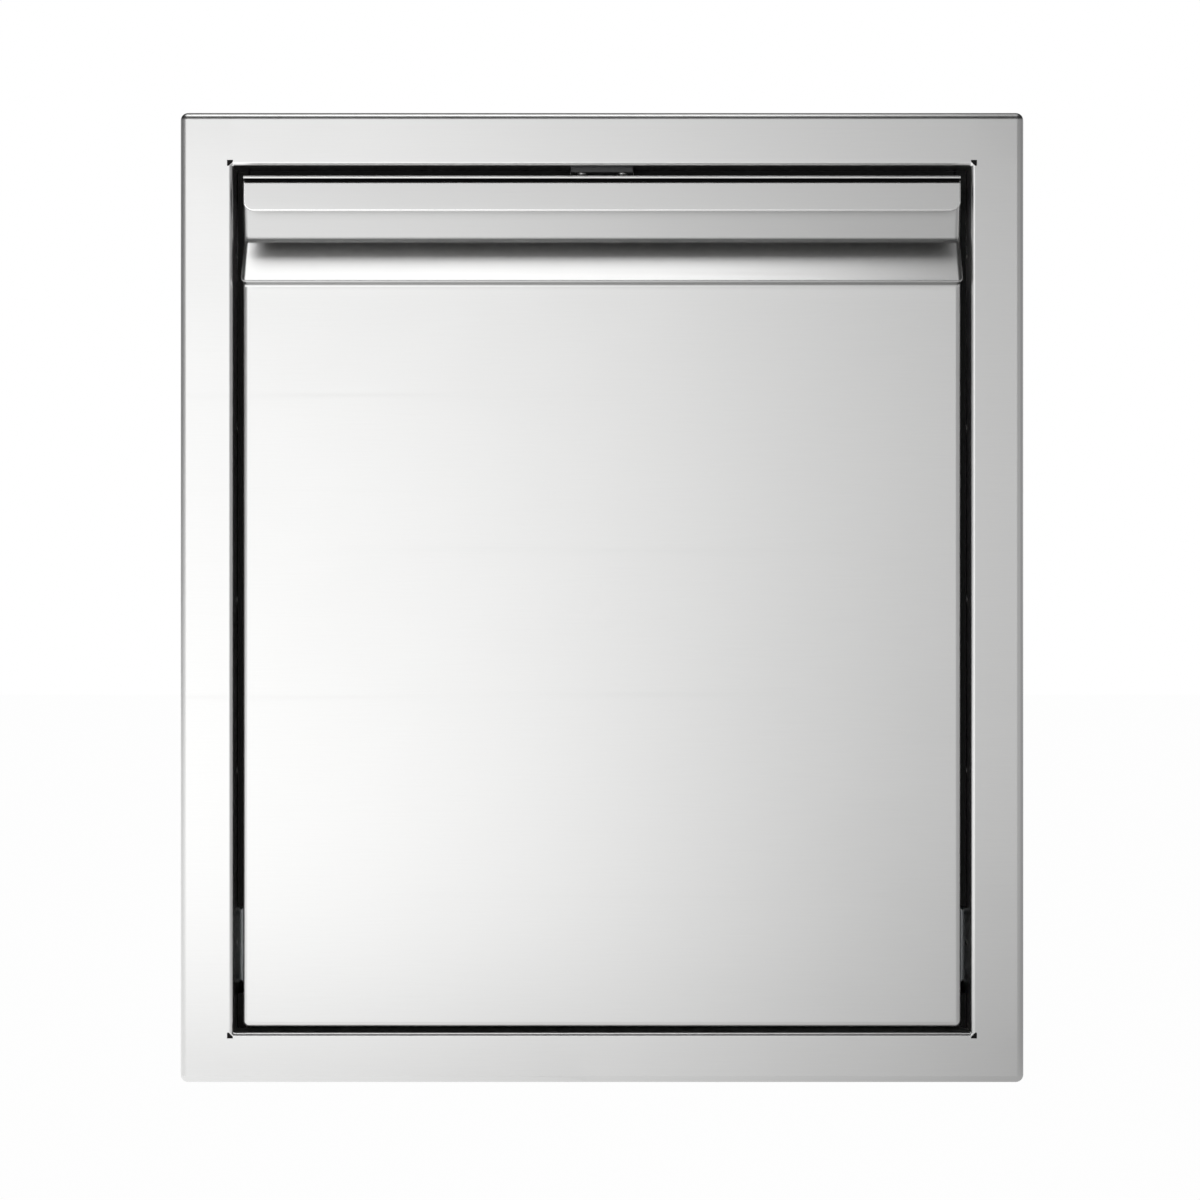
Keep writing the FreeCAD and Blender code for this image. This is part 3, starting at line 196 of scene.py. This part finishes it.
def makePlate(name, user, spangle=260):
    # Plain metal with soft clouds and fine speckle, for fasteners, slides and balls
    material, paint, place = newMaterial(name)
    clouds = paint.noise(place, speckling["cloudScale"], detail=3.0, roughness=0.55)
    specks = paint.noise(place, spangle, roughness=0.6)
    tone = blend(clouds, specks, speckling["cloudWeight"])
    colour = paint.mixColour(tone, user["dark"], user["light"])
    rough = user["roughness"] + (specks - 0.5) * speckling["gloss"]
    bump = paint.add("ShaderNodeBump", {},
                     {"Strength": speckling["bump"], "Distance": speckling["depth"], "Height": specks})
    finishMaterial(paint, {"Base Color": colour, "Metallic": 1.0, "Roughness": rough, "Normal": bump})
    return material


def makeMoulded(name, user, pebble=1400, depth=0.1 * mm):
    # Moulded plastic or rubber with a fine pebbled skin
    material, paint, place = newMaterial(name)
    pebbles = paint.noise(place, pebble)
    clouds = paint.noise(place, pebbling["cloudScale"], detail=3.0)
    tone = blend(clouds, pebbles, pebbling["cloudWeight"])
    colour = paint.mixColour(tone, user["dark"], user["light"])
    rough = user["roughness"] + (pebbles - 0.5) * pebbling["gloss"] + (clouds - 0.5) * pebbling["cloudGloss"]
    bump = paint.add("ShaderNodeBump", {},
                     {"Strength": pebbling["bump"], "Distance": depth, "Height": pebbles})
    finishMaterial(paint, {"Base Color": colour, "Metallic": 0.0, "Roughness": rough, "Normal": bump})
    return material


steelFace = makeBrushedSteel("steelFace", brushedSteel)
# The back, under and recess steels are darker copies of the face's steel, painted shade, and the edge steel
# is a brighter copy, a painted highlight
steelBackShade = makeBrushedSteel("steelBackShade", sheetBackShade)
steelUnderShade = makeBrushedSteel("steelUnderShade", ridgeUnderShade)
steelRecessShade = makeBrushedSteel("steelRecessShade", recessWallShade)
steelEdgeHighlight = makeBrushedSteel("steelEdgeHighlight", hemEdgeHighlight)
steelHousing = makeBrushedSteel("steelHousing", millSteel, "y")
steelFastener = makePlate("steelFastener", fastenerSteel)
zincSlide = makePlate("zincSlide", zincPlate, 700)
ballSteel = makePlate("ballSteel", polishedBall, 900)
plasticCatch = makeMoulded("plasticCatch", catchPlastic)
magnetFerrite = makeMoulded("magnetFerrite", ferrite, 2400)
grooveShadeBlack = makeMoulded("grooveShadeBlack", grooveShade)
rubberBuffer = makeMoulded("rubberBuffer", bufferRubber)
plasticBin = makeMoulded("plasticBin", binPlastic, 1100, 0.15 * mm)

finishOfSlot = {
    "face_steel": steelFace, "housing_steel": steelHousing, "fastener_steel": steelFastener,
    "slide_steel": zincSlide, "ball_steel": ballSteel, "catch_plastic": plasticCatch,
    "magnet_ferrite": magnetFerrite, "buffer_rubber": rubberBuffer, "bin_plastic": plasticBin,
}


def wear(piece, material):
    # The piece shows this material all over
    if not piece.material_slots:
        piece.data.materials.append(material)
    for materialSlot in piece.material_slots:
        materialSlot.material = material


def addFinishes(piece, *materials):
    # Adds materials for some of the piece's faces and tells their numbers
    first = len(piece.data.materials)
    for material in materials:
        piece.data.materials.append(material)
    return range(first, first + len(materials))


for part in frame["record"]["subparts"]:
    wear(nodes[part["node"]], finishOfSlot[part["material_slot"]])
print("stage: finishes on the CAD nodes")


def deselectAll():
    if bpy.context.object and bpy.context.object.mode != "OBJECT":
        bpy.ops.object.mode_set(mode="OBJECT")
    bpy.ops.object.select_all(action="DESELECT")


def stretchBetween(low, high):
    # Brings the new unit shape to its two corners and leaves nothing selected
    size = [b - a if b > a else 1 for a, b in zip(low, high)]
    bpy.ops.transform.resize(value=size, center_override=(0, 0, 0))
    bpy.ops.transform.translate(value=[(a + b) / 2 for a, b in zip(low, high)])
    bpy.ops.mesh.select_all(action="DESELECT")


def startPlane(name, low, high):
    # A level or upright rectangle between two corners, in edit mode
    deselectAll()
    bpy.ops.mesh.primitive_plane_add(size=1, location=(0, 0, 0))
    piece = bpy.context.object
    piece.name = name
    bpy.ops.object.mode_set(mode="EDIT")
    if high[1] == low[1]:
        bpy.ops.transform.rotate(value=math.radians(90), orient_axis="X", center_override=(0, 0, 0))
    stretchBetween(low, high)
    return piece


def startBlock(name, low, high):
    # A block between two corners, in edit mode
    deselectAll()
    bpy.ops.mesh.primitive_cube_add(size=1, location=(0, 0, 0))
    piece = bpy.context.object
    piece.name = name
    bpy.ops.object.mode_set(mode="EDIT")
    stretchBetween(low, high)
    return piece


def pick(piece, what, test):
    # Selects the edges, faces or vertices whose corners pass the test, in edit mode
    modes = {"VERT": (True, False, False), "EDGE": (False, True, False), "FACE": (False, False, True)}
    bpy.ops.object.mode_set(mode="OBJECT")
    mesh = piece.data
    for group in (mesh.vertices, mesh.edges, mesh.polygons):
        group.foreach_set("select", [False] * len(group))
    found = False
    items = {"VERT": mesh.vertices, "EDGE": mesh.edges, "FACE": mesh.polygons}[what]
    for item in items:
        corners = [item.co] if what == "VERT" else [mesh.vertices[index].co for index in item.vertices]
        if test(corners):
            item.select = True
            found = True
            if what != "VERT":
                for index in item.vertices:
                    mesh.vertices[index].select = True
    if what == "FACE":
        chosen = {tuple(sorted(key)) for face in mesh.polygons if face.select for key in face.edge_keys}
        for edge in mesh.edges:
            if tuple(sorted(edge.vertices)) in chosen:
                edge.select = True
    bpy.context.tool_settings.mesh_select_mode = modes[what]
    bpy.ops.object.mode_set(mode="EDIT")
    if not found:
        raise ValueError(f"nothing found to select on {piece.name}")


near = 1e-5
mergeReach = 1e-6
smoothAngle = math.radians(40)


def allAt(corners, x=None, y=None, z=None):
    # True where every corner lies at the given coordinates; a pair is a range
    for place, wanted in enumerate((x, y, z)):
        if wanted is None:
            continue
        low, high = wanted if isinstance(wanted, tuple) else (wanted, wanted)
        if not all(low - near <= corner[place] <= high + near for corner in corners):
            return False
    return True


def atSides(corners, half, **others):
    # True where every corner lies at the left side, or every corner at the right
    return any(allAt(corners, x=side * half, **others) for side in (-1, 1))


def runsBack(corners):
    return abs(corners[0][1] - corners[1][1]) > near


def bevel(width, segments, affect="EDGES"):
    bpy.ops.mesh.bevel(offset=width, segments=segments, profile=0.5, affect=affect,
                       offset_type="OFFSET", clamp_overlap=False)


def extrudeEdges(step):
    bpy.ops.mesh.extrude_edges_move(TRANSFORM_OT_translate={"value": step})


def extrudeFaces(step):
    bpy.ops.mesh.extrude_region_move(TRANSFORM_OT_translate={"value": step})


def cutAcross(place, normal):
    # Cuts the whole mesh along a plane and keeps both sides
    bpy.ops.mesh.select_all(action="SELECT")
    bpy.ops.mesh.bisect(plane_co=place, plane_no=normal)
    bpy.ops.mesh.select_all(action="DESELECT")


def squareNormals():
    # Merges points that lie together and turns every face outward
    bpy.ops.mesh.select_all(action="SELECT")
    bpy.ops.mesh.remove_doubles(threshold=mergeReach)
    bpy.ops.mesh.normals_make_consistent(inside=False)
    bpy.ops.mesh.select_all(action="DESELECT")


def giveThickness(piece, thickness, even=True, outward=False):
    bpy.ops.object.mode_set(mode="OBJECT")
    modifier = piece.modifiers.new("sheet", "SOLIDIFY")
    modifier.thickness = thickness
    modifier.offset = 1.0 if outward else -1.0
    modifier.use_even_offset = even
    bpy.ops.object.modifier_apply(modifier=modifier.name)


def smoothShade(piece):
    deselectAll()
    piece.select_set(True)
    bpy.context.view_layer.objects.active = piece
    bpy.ops.object.shade_smooth_by_angle(angle=smoothAngle, keep_sharp_edges=False)


def evenNormals(piece):
    # The flat faces keep their own normals, and only the bends between them shade round
    modifier = piece.modifiers.new("flat_faces", "WEIGHTED_NORMAL")
    modifier.mode = "FACE_AREA"
    modifier.weight = 100
    modifier.keep_sharp = True
    deselectAll()
    bpy.context.view_layer.objects.active = piece
    bpy.ops.object.modifier_apply(modifier=modifier.name)


def joinInto(piece, others):
    deselectAll()
    for other in others:
        other.select_set(True)
    piece.select_set(True)
    bpy.context.view_layer.objects.active = piece
    bpy.ops.object.join()


def settle(piece, body, slot, *replaced):
    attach(piece, body)
    if replaced:
        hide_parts(*replaced)


faceFrame = {
    "halfWidth": 254 * mm, "bottom": -6 * mm, "top": 578.2 * mm, "face": -12 * mm,
    "halfOpening": 222.0 * mm, "openingBottom": 24.4 * mm, "openingTop": 545.8 * mm,
    "fold": 12 * mm, "returnBack": 18 * mm, "relief": 3.5 * mm, "sheet": 1.2 * mm,
    "outerBend": 4.6 * mm, "innerBend": 3.4 * mm, "sideInnerBend": 2.4 * mm, "bendSteps": 7,
    "sealEnd": 5 * mm, "sealRound": 0.3 * mm, "sealSteps": 2, "sealGap": 0.2 * mm,
}


def makeSealEndShades(user):
    # The black ends of the seals fill the relief notches at the opening's corners, so that the notches show
    # dark instead of letting the view through: painted shade
    ends = []
    wide, front = user["sealEnd"], user["face"] + user["sheet"] + user["sealGap"]
    for side in (-1, 1):
        for level, rise in ((user["openingBottom"], -1), (user["openingTop"], 1)):
            across = sorted((side * user["halfOpening"], side * (user["halfOpening"] + wide)))
            up = sorted((level, level + rise * wide))
            end = startBlock("seal_end_shade", (across[0], front, up[0]), (across[1], front + user["sheet"], up[1]))
            bpy.ops.mesh.select_all(action="SELECT")
            bevel(user["sealRound"], user["sealSteps"])
            bpy.ops.object.mode_set(mode="OBJECT")
            wear(end, rubberBuffer)
            ends.append(end)
    return ends


def makeFaceFrame(user):
    # One folded sheet: the face is cut from a rectangle, then its edges are folded back
    half, low, high, face = user["halfWidth"], user["bottom"], user["top"], user["face"]
    inner, sill, head = user["halfOpening"], user["openingBottom"], user["openingTop"]
    piece = startPlane("frame_sheet", (-half, face, low), (half, face, high))
    for across in (-inner - user["relief"], -inner, inner, inner + user["relief"]):
        cutAcross((across, 0, 0), (1, 0, 0))
    for up in (sill - user["relief"], sill, head, head + user["relief"]):
        cutAcross((0, 0, up), (0, 0, 1))

    def inOpening(corners):
        if allAt(corners, x=(-inner, inner), z=(sill, head)):
            return True
        outX = (inner, inner + user["relief"]), (-inner - user["relief"], -inner)
        outZ = (head, head + user["relief"]), (sill - user["relief"], sill)
        return any(allAt(corners, x=spanX, z=spanZ) for spanX in outX for spanZ in outZ)

    pick(piece, "FACE", inOpening)
    bpy.ops.mesh.delete(type="FACE")

    def besideOpening(corners):
        # The cuts that run along the opening past the notches, where the bends need whole sheet
        upright = atSides(corners, inner + user["relief"], z=(sill, head))
        return upright or any(allAt(corners, x=(-inner, inner), z=level)
                              for level in (sill - user["relief"], head + user["relief"]))

    pick(piece, "EDGE", besideOpening)
    bpy.ops.mesh.dissolve_edges(use_verts=False)
    runs = {
        "sides": lambda corners: atSides(corners, inner, z=(sill, head)),
        "sill": lambda corners: allAt(corners, x=(-inner, inner), z=sill),
        "head": lambda corners: allAt(corners, x=(-inner, inner), z=head),
    }
    for run in runs.values():
        pick(piece, "EDGE", lambda corners: allAt(corners, y=face) and run(corners))
        extrudeEdges((0, user["returnBack"] - face, 0))

    def outside(corners):
        return atSides(corners, half) or any(allAt(corners, z=level) for level in (low, high))

    pick(piece, "EDGE", lambda corners: allAt(corners, y=face) and outside(corners))
    extrudeEdges((0, -face, 0))
    fold = user["fold"]
    pick(piece, "EDGE", lambda corners: allAt(corners, y=0.0) and outside(corners))
    extrudeEdges((0, 0, 0))
    middle = (0, 0, (low + high) / 2)
    shrink = (1 - fold / half, 1, 1 - 2 * fold / (high - low))
    bpy.ops.transform.resize(value=shrink, center_override=middle)
    squareNormals()

    def isCorner(corners):
        return runsBack(corners) and any(atSides(corners, half, z=level) for level in (low, high))

    for name, run in runs.items():
        pick(piece, "EDGE", lambda corners: allAt(corners, y=face) and run(corners))
        bevel(user["sideInnerBend"] if name == "sides" else user["innerBend"], user["bendSteps"])
    pick(piece, "EDGE", lambda corners: (allAt(corners, y=face) and outside(corners)) or isCorner(corners))
    bevel(user["outerBend"], user["bendSteps"])
    squareNormals()
    giveThickness(piece, user["sheet"])
    wear(piece, steelFace)
    joinInto(piece, makeSealEndShades(user))
    smoothShade(piece)
    evenNormals(piece)
    settle(piece, "housing", "face_steel", "face_frame")


makeFaceFrame(faceFrame)
print("stage: face frame")


frontSheet = {
    "half": 216.2 * mm, "bottom": 27.5 * mm, "back": 5 * mm, "face": -12 * mm,
    "ridgeLevel": 474.5 * mm, "ridgeTip": -25.4 * mm, "rampTop": 501.5 * mm, "recess": -7.5 * mm,
    "recessLean": 5.5 * mm, "top": 538.0 * mm, "sheet": 1.2 * mm,
    "bend": 3.8 * mm, "footBend": 1.8 * mm, "noseBend": 1.1 * mm, "rampBend": 2.4 * mm, "sideBend": 3.6 * mm,
    "creaseReach": 12 * mm, "bendSteps": 8, "edgeSteps": 6, "underShadeTilt": 0.8, "underShadeReach": 0.5 * mm,
    "wallShadeTilt": 0.9,
}
lipSheet = {
    "half": 214.2 * mm, "front": -24 * mm, "bottom": 517 * mm, "hem": 2.4 * mm, "hemHeight": 8 * mm,
    "strip": 1.9 * mm, "groove": 1.9 * mm, "grooveDepth": 5 * mm, "corner": 6 * mm, "cornerSteps": 10,
    "round": 0.8 * mm, "stripSteps": 6, "roundSteps": 5, "lean": math.radians(2.0),
    "backShadeTilt": 0.5, "highlightTilt": 0.15,
}


def makeFrontPan(user):
    # The face strip is folded up step by step, its bends are rounded, then its two ends are closed
    half, back, face = user["half"], user["back"], user["face"]
    under = user["top"] - user["sheet"]
    piece = startPlane("front_sheet", (-half, face, user["bottom"]), (half, face, user["ridgeLevel"]))
    pick(piece, "EDGE", lambda corners: allAt(corners, z=user["bottom"]))
    extrudeEdges((0, back - face, 0))
    pick(piece, "EDGE", lambda corners: allAt(corners, z=user["ridgeLevel"]))
    extrudeEdges((0, user["ridgeTip"] - face, 0))
    extrudeEdges((0, user["recess"] - user["ridgeTip"], user["rampTop"] - user["ridgeLevel"]))
    extrudeEdges((0, -user["recessLean"], under - user["rampTop"]))
    extrudeEdges((0, back - user["recess"] + user["recessLean"], 0))
    squareNormals()

    bends = [(face, user["bottom"], user["bend"]), (face, user["ridgeLevel"], user["footBend"]),
             (user["recess"], user["rampTop"], user["rampBend"])]
    for across, up, width in bends:
        pick(piece, "EDGE", lambda corners: allAt(corners, y=across, z=up))
        bevel(width, user["bendSteps"])
    for side in (-1, 1):
        pick(piece, "EDGE", lambda corners: allAt(corners, x=side * half))
        bpy.ops.mesh.edge_face_add()
    pick(piece, "FACE", lambda corners: allAt(corners, z=under))
    bpy.ops.mesh.delete(type="FACE")
    squareNormals()

    def sideEdge(corners):
        return atSides(corners, half) and not allAt(corners, y=back) and not allAt(corners, z=under)

    pick(piece, "EDGE", sideEdge)
    bevel(user["sideBend"], user["edgeSteps"])
    squareNormals()

    # The nose stays a sharp crease round both ends until here, all in the plane that halves it
    halfAngle = math.atan2(user["rampTop"] - user["ridgeLevel"], user["recess"] - user["ridgeTip"]) / 2

    def onCrease(corners):
        return all(abs((y - user["ridgeTip"]) * math.sin(halfAngle)
                       - (z - user["ridgeLevel"]) * math.cos(halfAngle)) < near
                   and y < user["ridgeTip"] + user["creaseReach"] for x, y, z in corners)

    pick(piece, "EDGE", onCrease)
    bevel(user["noseBend"], user["edgeSteps"])
    squareNormals()
    giveThickness(piece, user["sheet"], even=False)
    wear(piece, steelFace)
    # Painted shade: the ridge's underside and the recess wall get darker copies of the face's steel, for the
    # shade under the ridge and in the recess
    shadedUnderside, wall = addFinishes(piece, steelUnderShade, steelRecessShade)
    for patch in piece.data.polygons:
        middle, away = patch.center, patch.normal
        if away.z < -user["underShadeTilt"] and abs(middle.z - user["ridgeLevel"]) < user["underShadeReach"]:
            patch.material_index = shadedUnderside
        # Painted shade: the recess wall's faces take the darker steel
        elif away.y < -user["wallShadeTilt"] and middle.z > user["rampTop"]:
            patch.material_index = wall
    return piece


def makeLip(user, pan):
    # The lip hangs from a strip along the top, under a shadow groove, and ends in a folded hem with
    # round lower corners
    top, sheet = pan["top"], pan["sheet"]
    half, front, hemBack = user["half"], user["front"], user["front"] + user["hem"]
    stripBottom = top - user["strip"]
    lipTop = stripBottom - user["groove"]
    web = front + user["grooveDepth"]
    strip = startBlock("lip_strip", (-half, front, stripBottom), (half, pan["recess"] + sheet, top))
    pick(strip, "EDGE", lambda corners: allAt(corners, y=front) and not atSides(corners, half))
    bevel(user["round"], user["stripSteps"])
    bpy.ops.object.mode_set(mode="OBJECT")

    piece = startBlock("lip_sheet", (-half, front, user["bottom"]), (half, hemBack, lipTop))
    hemTop = user["bottom"] + user["hemHeight"]
    cutAcross((0, 0, hemTop), (0, 0, 1))
    cutAcross((0, 0, lipTop - sheet), (0, 0, 1))
    pick(piece, "FACE", lambda corners: allAt(corners, y=hemBack, z=(hemTop, lipTop - sheet)))
    extrudeFaces((0, sheet - user["hem"], 0))
    pick(piece, "FACE", lambda corners: allAt(corners, y=hemBack, z=(lipTop - sheet, lipTop)))
    extrudeFaces((0, web - hemBack, 0))
    extrudeFaces((0, sheet, 0))
    pick(piece, "FACE", lambda corners: allAt(corners, y=(web, web + sheet), z=lipTop))
    extrudeFaces((0, 0, user["groove"]))
    squareNormals()

    pick(piece, "EDGE", lambda corners: runsBack(corners) and atSides(corners, half, z=user["bottom"]))
    bevel(user["corner"], user["cornerSteps"])
    pick(piece, "EDGE", lambda corners: allAt(corners, y=front))
    bevel(user["round"], user["roundSteps"])
    hinge = (0, front + user["round"], lipTop - user["round"])
    pick(piece, "VERT", lambda corners: corners[0][2] < hinge[2] - near and corners[0][1] < hemBack + near)
    bpy.ops.transform.rotate(value=user["lean"], orient_axis="X", center_override=hinge)
    squareNormals()
    bpy.ops.object.mode_set(mode="OBJECT")
    return [strip, piece]


def finishLip(piece, user, pan):
    # The brushed side shows on the front and the hem; the hem's round edge gets a brighter copy of the steel,
    # a painted highlight. Behind the hem the sheet is painted near-black as painted shade, and the shadow
    # groove's faces are painted black as painted shade
    front, hemTop = user["front"], user["bottom"] + user["hemHeight"]
    stripBottom = pan["top"] - user["strip"]
    lipTop = stripBottom - user["groove"]
    # back is the painted shade behind the hem, groove the black painted shade in the groove, edge the painted
    # highlight on the hem's edge
    back, groove, edge = addFinishes(piece, steelBackShade, grooveShadeBlack, steelEdgeHighlight)
    for face in piece.data.polygons:
        middle, away = face.center, face.normal
        inGroove = front + user["round"] < middle.y < front + user["grooveDepth"] + near
        # Painted shade: the groove's faces are painted black, for the shadow inside it
        if inGroove and lipTop - near < middle.z < stripBottom + near:
            face.material_index = groove
        elif middle.z > hemTop - near and max(away.y, -away.z) > user["backShadeTilt"]:
            face.material_index = back
        elif middle.y < front + 2 * user["round"] and middle.z < lipTop - user["round"]:
            # Painted highlight: the hem's round edge faces take the brighter steel
            if max(abs(away.x), -away.z) > user["highlightTilt"]:
                face.material_index = edge


frontPan = makeFrontPan(frontSheet)
lipPieces = makeLip(lipSheet, frontSheet)
for piece in lipPieces:
    wear(piece, steelFace)
    finishLip(piece, lipSheet, frontSheet)
joinInto(frontPan, lipPieces)
smoothShade(frontPan)
evenNormals(frontPan)
settle(frontPan, "carriage", "face_steel", "front_panel")
print("stage: front")


binShape = {
    "halfWidth": 173 * mm, "halfLength": 111 * mm, "taper": 18 * mm, "floor": 28.1 * mm, "top": 482.1 * mm,
    "corner": 26 * mm, "footShare": 0.8, "cornerSteps": 10, "rim": 8 * mm, "rimDrop": 14 * mm,
    "wall": 2 * mm, "edge": 1.2 * mm, "edgeSteps": 3, "edgeAngle": math.radians(50),
    "centres": {"front_bin": 151 * mm, "rear_bin": 395 * mm},
}


def makeBin(name, centre, user):
    # A tapered tub: the foot is drawn up and widened, then its rim is turned out and down
    wide, deep, taper = user["halfWidth"], user["halfLength"], user["taper"]
    tub = startPlane(f"{name}_tub", (taper - wide, centre + taper - deep, user["floor"]),
                     (wide - taper, centre + deep - taper, user["floor"]))
    bpy.ops.mesh.select_all(action="SELECT")
    bevel(user["corner"] * user["footShare"], user["cornerSteps"], "VERTICES")
    bpy.ops.mesh.select_all(action="SELECT")
    extrudeFaces((0, 0, user["top"] - user["floor"]))
    grow = (wide / (wide - taper), deep / (deep - taper), 1)
    bpy.ops.transform.resize(value=grow, center_override=(0, centre, 0))
    bpy.ops.mesh.delete(type="ONLY_FACE")
    pick(tub, "EDGE", lambda corners: allAt(corners, z=user["top"]))
    extrudeEdges((0, 0, 0))
    widen = ((wide + user["rim"]) / wide, (deep + user["rim"]) / deep, 1)
    bpy.ops.transform.resize(value=widen, center_override=(0, centre, 0))
    extrudeEdges((0, 0, -user["rimDrop"]))
    squareNormals()
    giveThickness(tub, user["wall"], outward=True)
    modifier = tub.modifiers.new("soft_edges", "BEVEL")
    modifier.width = user["edge"]
    modifier.segments = user["edgeSteps"]
    modifier.limit_method = "ANGLE"
    modifier.angle_limit = user["edgeAngle"]
    bpy.ops.object.modifier_apply(modifier=modifier.name)
    smoothShade(tub)
    wear(tub, plasticBin)
    settle(tub, name, "bin_plastic", name)


for binName, centre in binShape["centres"].items():
    makeBin(binName, centre, binShape)
print("stage: bins")


studio = {
    "floorLevel": -6.2 * mm, "floorSize": 14.0, "floorColour": 0.8, "floorGlow": 0.985,
    "leftLevel": 1.68, "rightLevel": 0.56, "highGain": 1.15, "darkBand": 0.015, "zenith": 0.4,
    "backdrop": 1.0,
    # Where the floor's shine falls from left to right, and towards the object
    "floorAcross": (-0.3, 0.45), "floorNear": (-0.9, -0.05), "nearShare": 0.68,
    # Brightness of the front screen from left to right, at eye level and above it, as shares of the
    # left level; then how the screen, its upper part, the ceiling and the backdrop begin and end
    "acrossLow": [(0.0, 0.08), (0.1, 0.09), (0.2, 0.28), (0.33, 1.0), (0.48, 1.0), (0.57, 0.35),
                  (0.75, 0.35), (0.93, 0.36), (1.0, 0.2)],
    "acrossHigh": [(0.0, 0.1), (0.1, 0.13), (0.2, 0.4), (0.34, 1.0), (0.48, 0.97), (0.57, 0.25),
                   (0.75, 0.16), (0.93, 0.2), (1.0, 0.15)],
    "raised": [(0.0, 0), (0.02, 0), (0.17, 1), (1.0, 1)],
    "screenEdge": [(0.0, 1), (0.19, 1), (0.36, 0), (1.0, 0)],
    "overhead": [(0.0, 0), (0.88, 0), (0.95, 1), (1.0, 1)],
    "behind": [(0.0, 0), (0.8, 0), (0.93, 1), (1.0, 1)],
    # A softbox on the ceiling, a little to the left, and the camera straight in front
    "lampPlace": (-0.30, -0.32, 1.9), "lampTarget": (-0.30, -0.32, 0.0), "lampSize": (1.14, 0.48),
    "lampLevel": 2.15, "cameraPlace": (-0.0012, -1.716, 0.2846), "lens": 85, "sensor": 36,
}


def easeAcross(paint, value, span, first, last):
    # Goes softly from the first level to the last over the span
    limits = {"From Min": span[0], "From Max": span[1], "To Min": first, "To Max": last}
    return paint.add("ShaderNodeMapRange", {"interpolation_type": "SMOOTHSTEP"}, {"Value": value, **limits})


def makeFloor(user):
    # White to the camera and in mirrors, plain pale floor with the object's shadow to all else
    deselectAll()
    bpy.ops.mesh.primitive_plane_add(size=user["floorSize"], location=(0, 0, user["floorLevel"]))
    floor = bpy.context.object
    floor.name = "studio_floor"
    material = bpy.data.materials.new("paleFloor")
    paint = Paint(material)
    rays = paint.add("ShaderNodeLightPath", output="Is Camera Ray")
    shiny = Wire(paint, rays.socket.node.outputs["Is Glossy Ray"])
    clear = Wire(paint, rays.socket.node.outputs["Is Transmission Ray"])
    spot = paint.add("ShaderNodeSeparateXYZ", {}, {0: paint.add("ShaderNodeTexCoord", output="Object")})
    depth = Wire(paint, spot.socket.node.outputs[1])
    fall = easeAcross(paint, spot, user["floorAcross"], user["leftLevel"], user["rightLevel"])
    close = easeAcross(paint, depth, user["floorNear"], 1.0, user["nearShare"])
    matt = paint.add("ShaderNodeBsdfDiffuse", {}, {"Color": grey(user["floorColour"])})
    glow = paint.add("ShaderNodeEmission", {},
                     {"Color": grey(1.0), "Strength": rays + shiny * fall * close + clear})
    mixed = paint.add("ShaderNodeMixShader", {},
                      {0: (rays + shiny + clear) * user["floorGlow"], 1: matt, 2: glow})
    paint.add("ShaderNodeOutputMaterial", {}, {"Surface": mixed})
    wear(floor, material)


def makeSky(user):
    # White behind the object; in front a big pale screen, brighter on the left, with a dark gap
    # between it and the ceiling
    world = bpy.data.worlds.new("studio")
    bpy.context.scene.world = world
    paint = Paint(world)
    direction = paint.add("ShaderNodeTexCoord", output="Generated")
    across = paint.add("ShaderNodeSeparateXYZ", {}, {0: direction})
    depth = Wire(paint, across.socket.node.outputs[1])
    up = Wire(paint, across.socket.node.outputs[2])
    screen = across * 0.5 + 0.5
    raised = paint.levels(up, user["raised"])
    wide = user["leftLevel"] * (paint.levels(screen, user["acrossLow"]) * (1 - raised)
                                + user["highGain"] * paint.levels(screen, user["acrossHigh"]) * raised)
    band = paint.levels(up, user["screenEdge"])
    overhead = paint.levels(up, user["overhead"])
    front = band * wide + overhead * user["zenith"] + user["darkBand"]
    behind = paint.levels(depth, user["behind"])
    studioLight = front * (1 - behind) + behind * user["backdrop"]
    seen = paint.add("ShaderNodeLightPath", output="Is Camera Ray")
    strength = studioLight * (1 - seen) + seen
    shade = paint.add("ShaderNodeBackground", {}, {"Color": grey(1.0), "Strength": strength})
    paint.add("ShaderNodeOutputWorld", {}, {"Surface": shade})


def makeLamp(user):
    # An oblong softbox; its level is how bright its face looks, where 1 is white
    size = user["lampSize"]
    data = bpy.data.lights.new("ceiling_softbox", "AREA")
    data.shape = "RECTANGLE"
    data.size, data.size_y = size
    data.energy = user["lampLevel"] * math.pi * size[0] * size[1]
    lamp = bpy.data.objects.new("ceiling_softbox", data)
    bpy.context.scene.collection.objects.link(lamp)
    lamp.location = user["lampPlace"]
    aim = Vector(user["lampTarget"]) - Vector(user["lampPlace"])
    lamp.rotation_euler = aim.to_track_quat("-Z", "Y").to_euler()


def makeCamera(user):
    data = bpy.data.cameras.new("camera")
    data.lens = user["lens"]
    data.sensor_width = user["sensor"]
    camera = bpy.data.objects.new("camera", data)
    bpy.context.scene.collection.objects.link(camera)
    camera.location = user["cameraPlace"]
    camera.rotation_euler = (math.radians(90), 0, 0)
    bpy.context.scene.camera = camera


makeFloor(studio)
makeSky(studio)
makeLamp(studio)
makeCamera(studio)
bpy.context.scene.view_settings.view_transform = "Standard"
print("stage: studio")
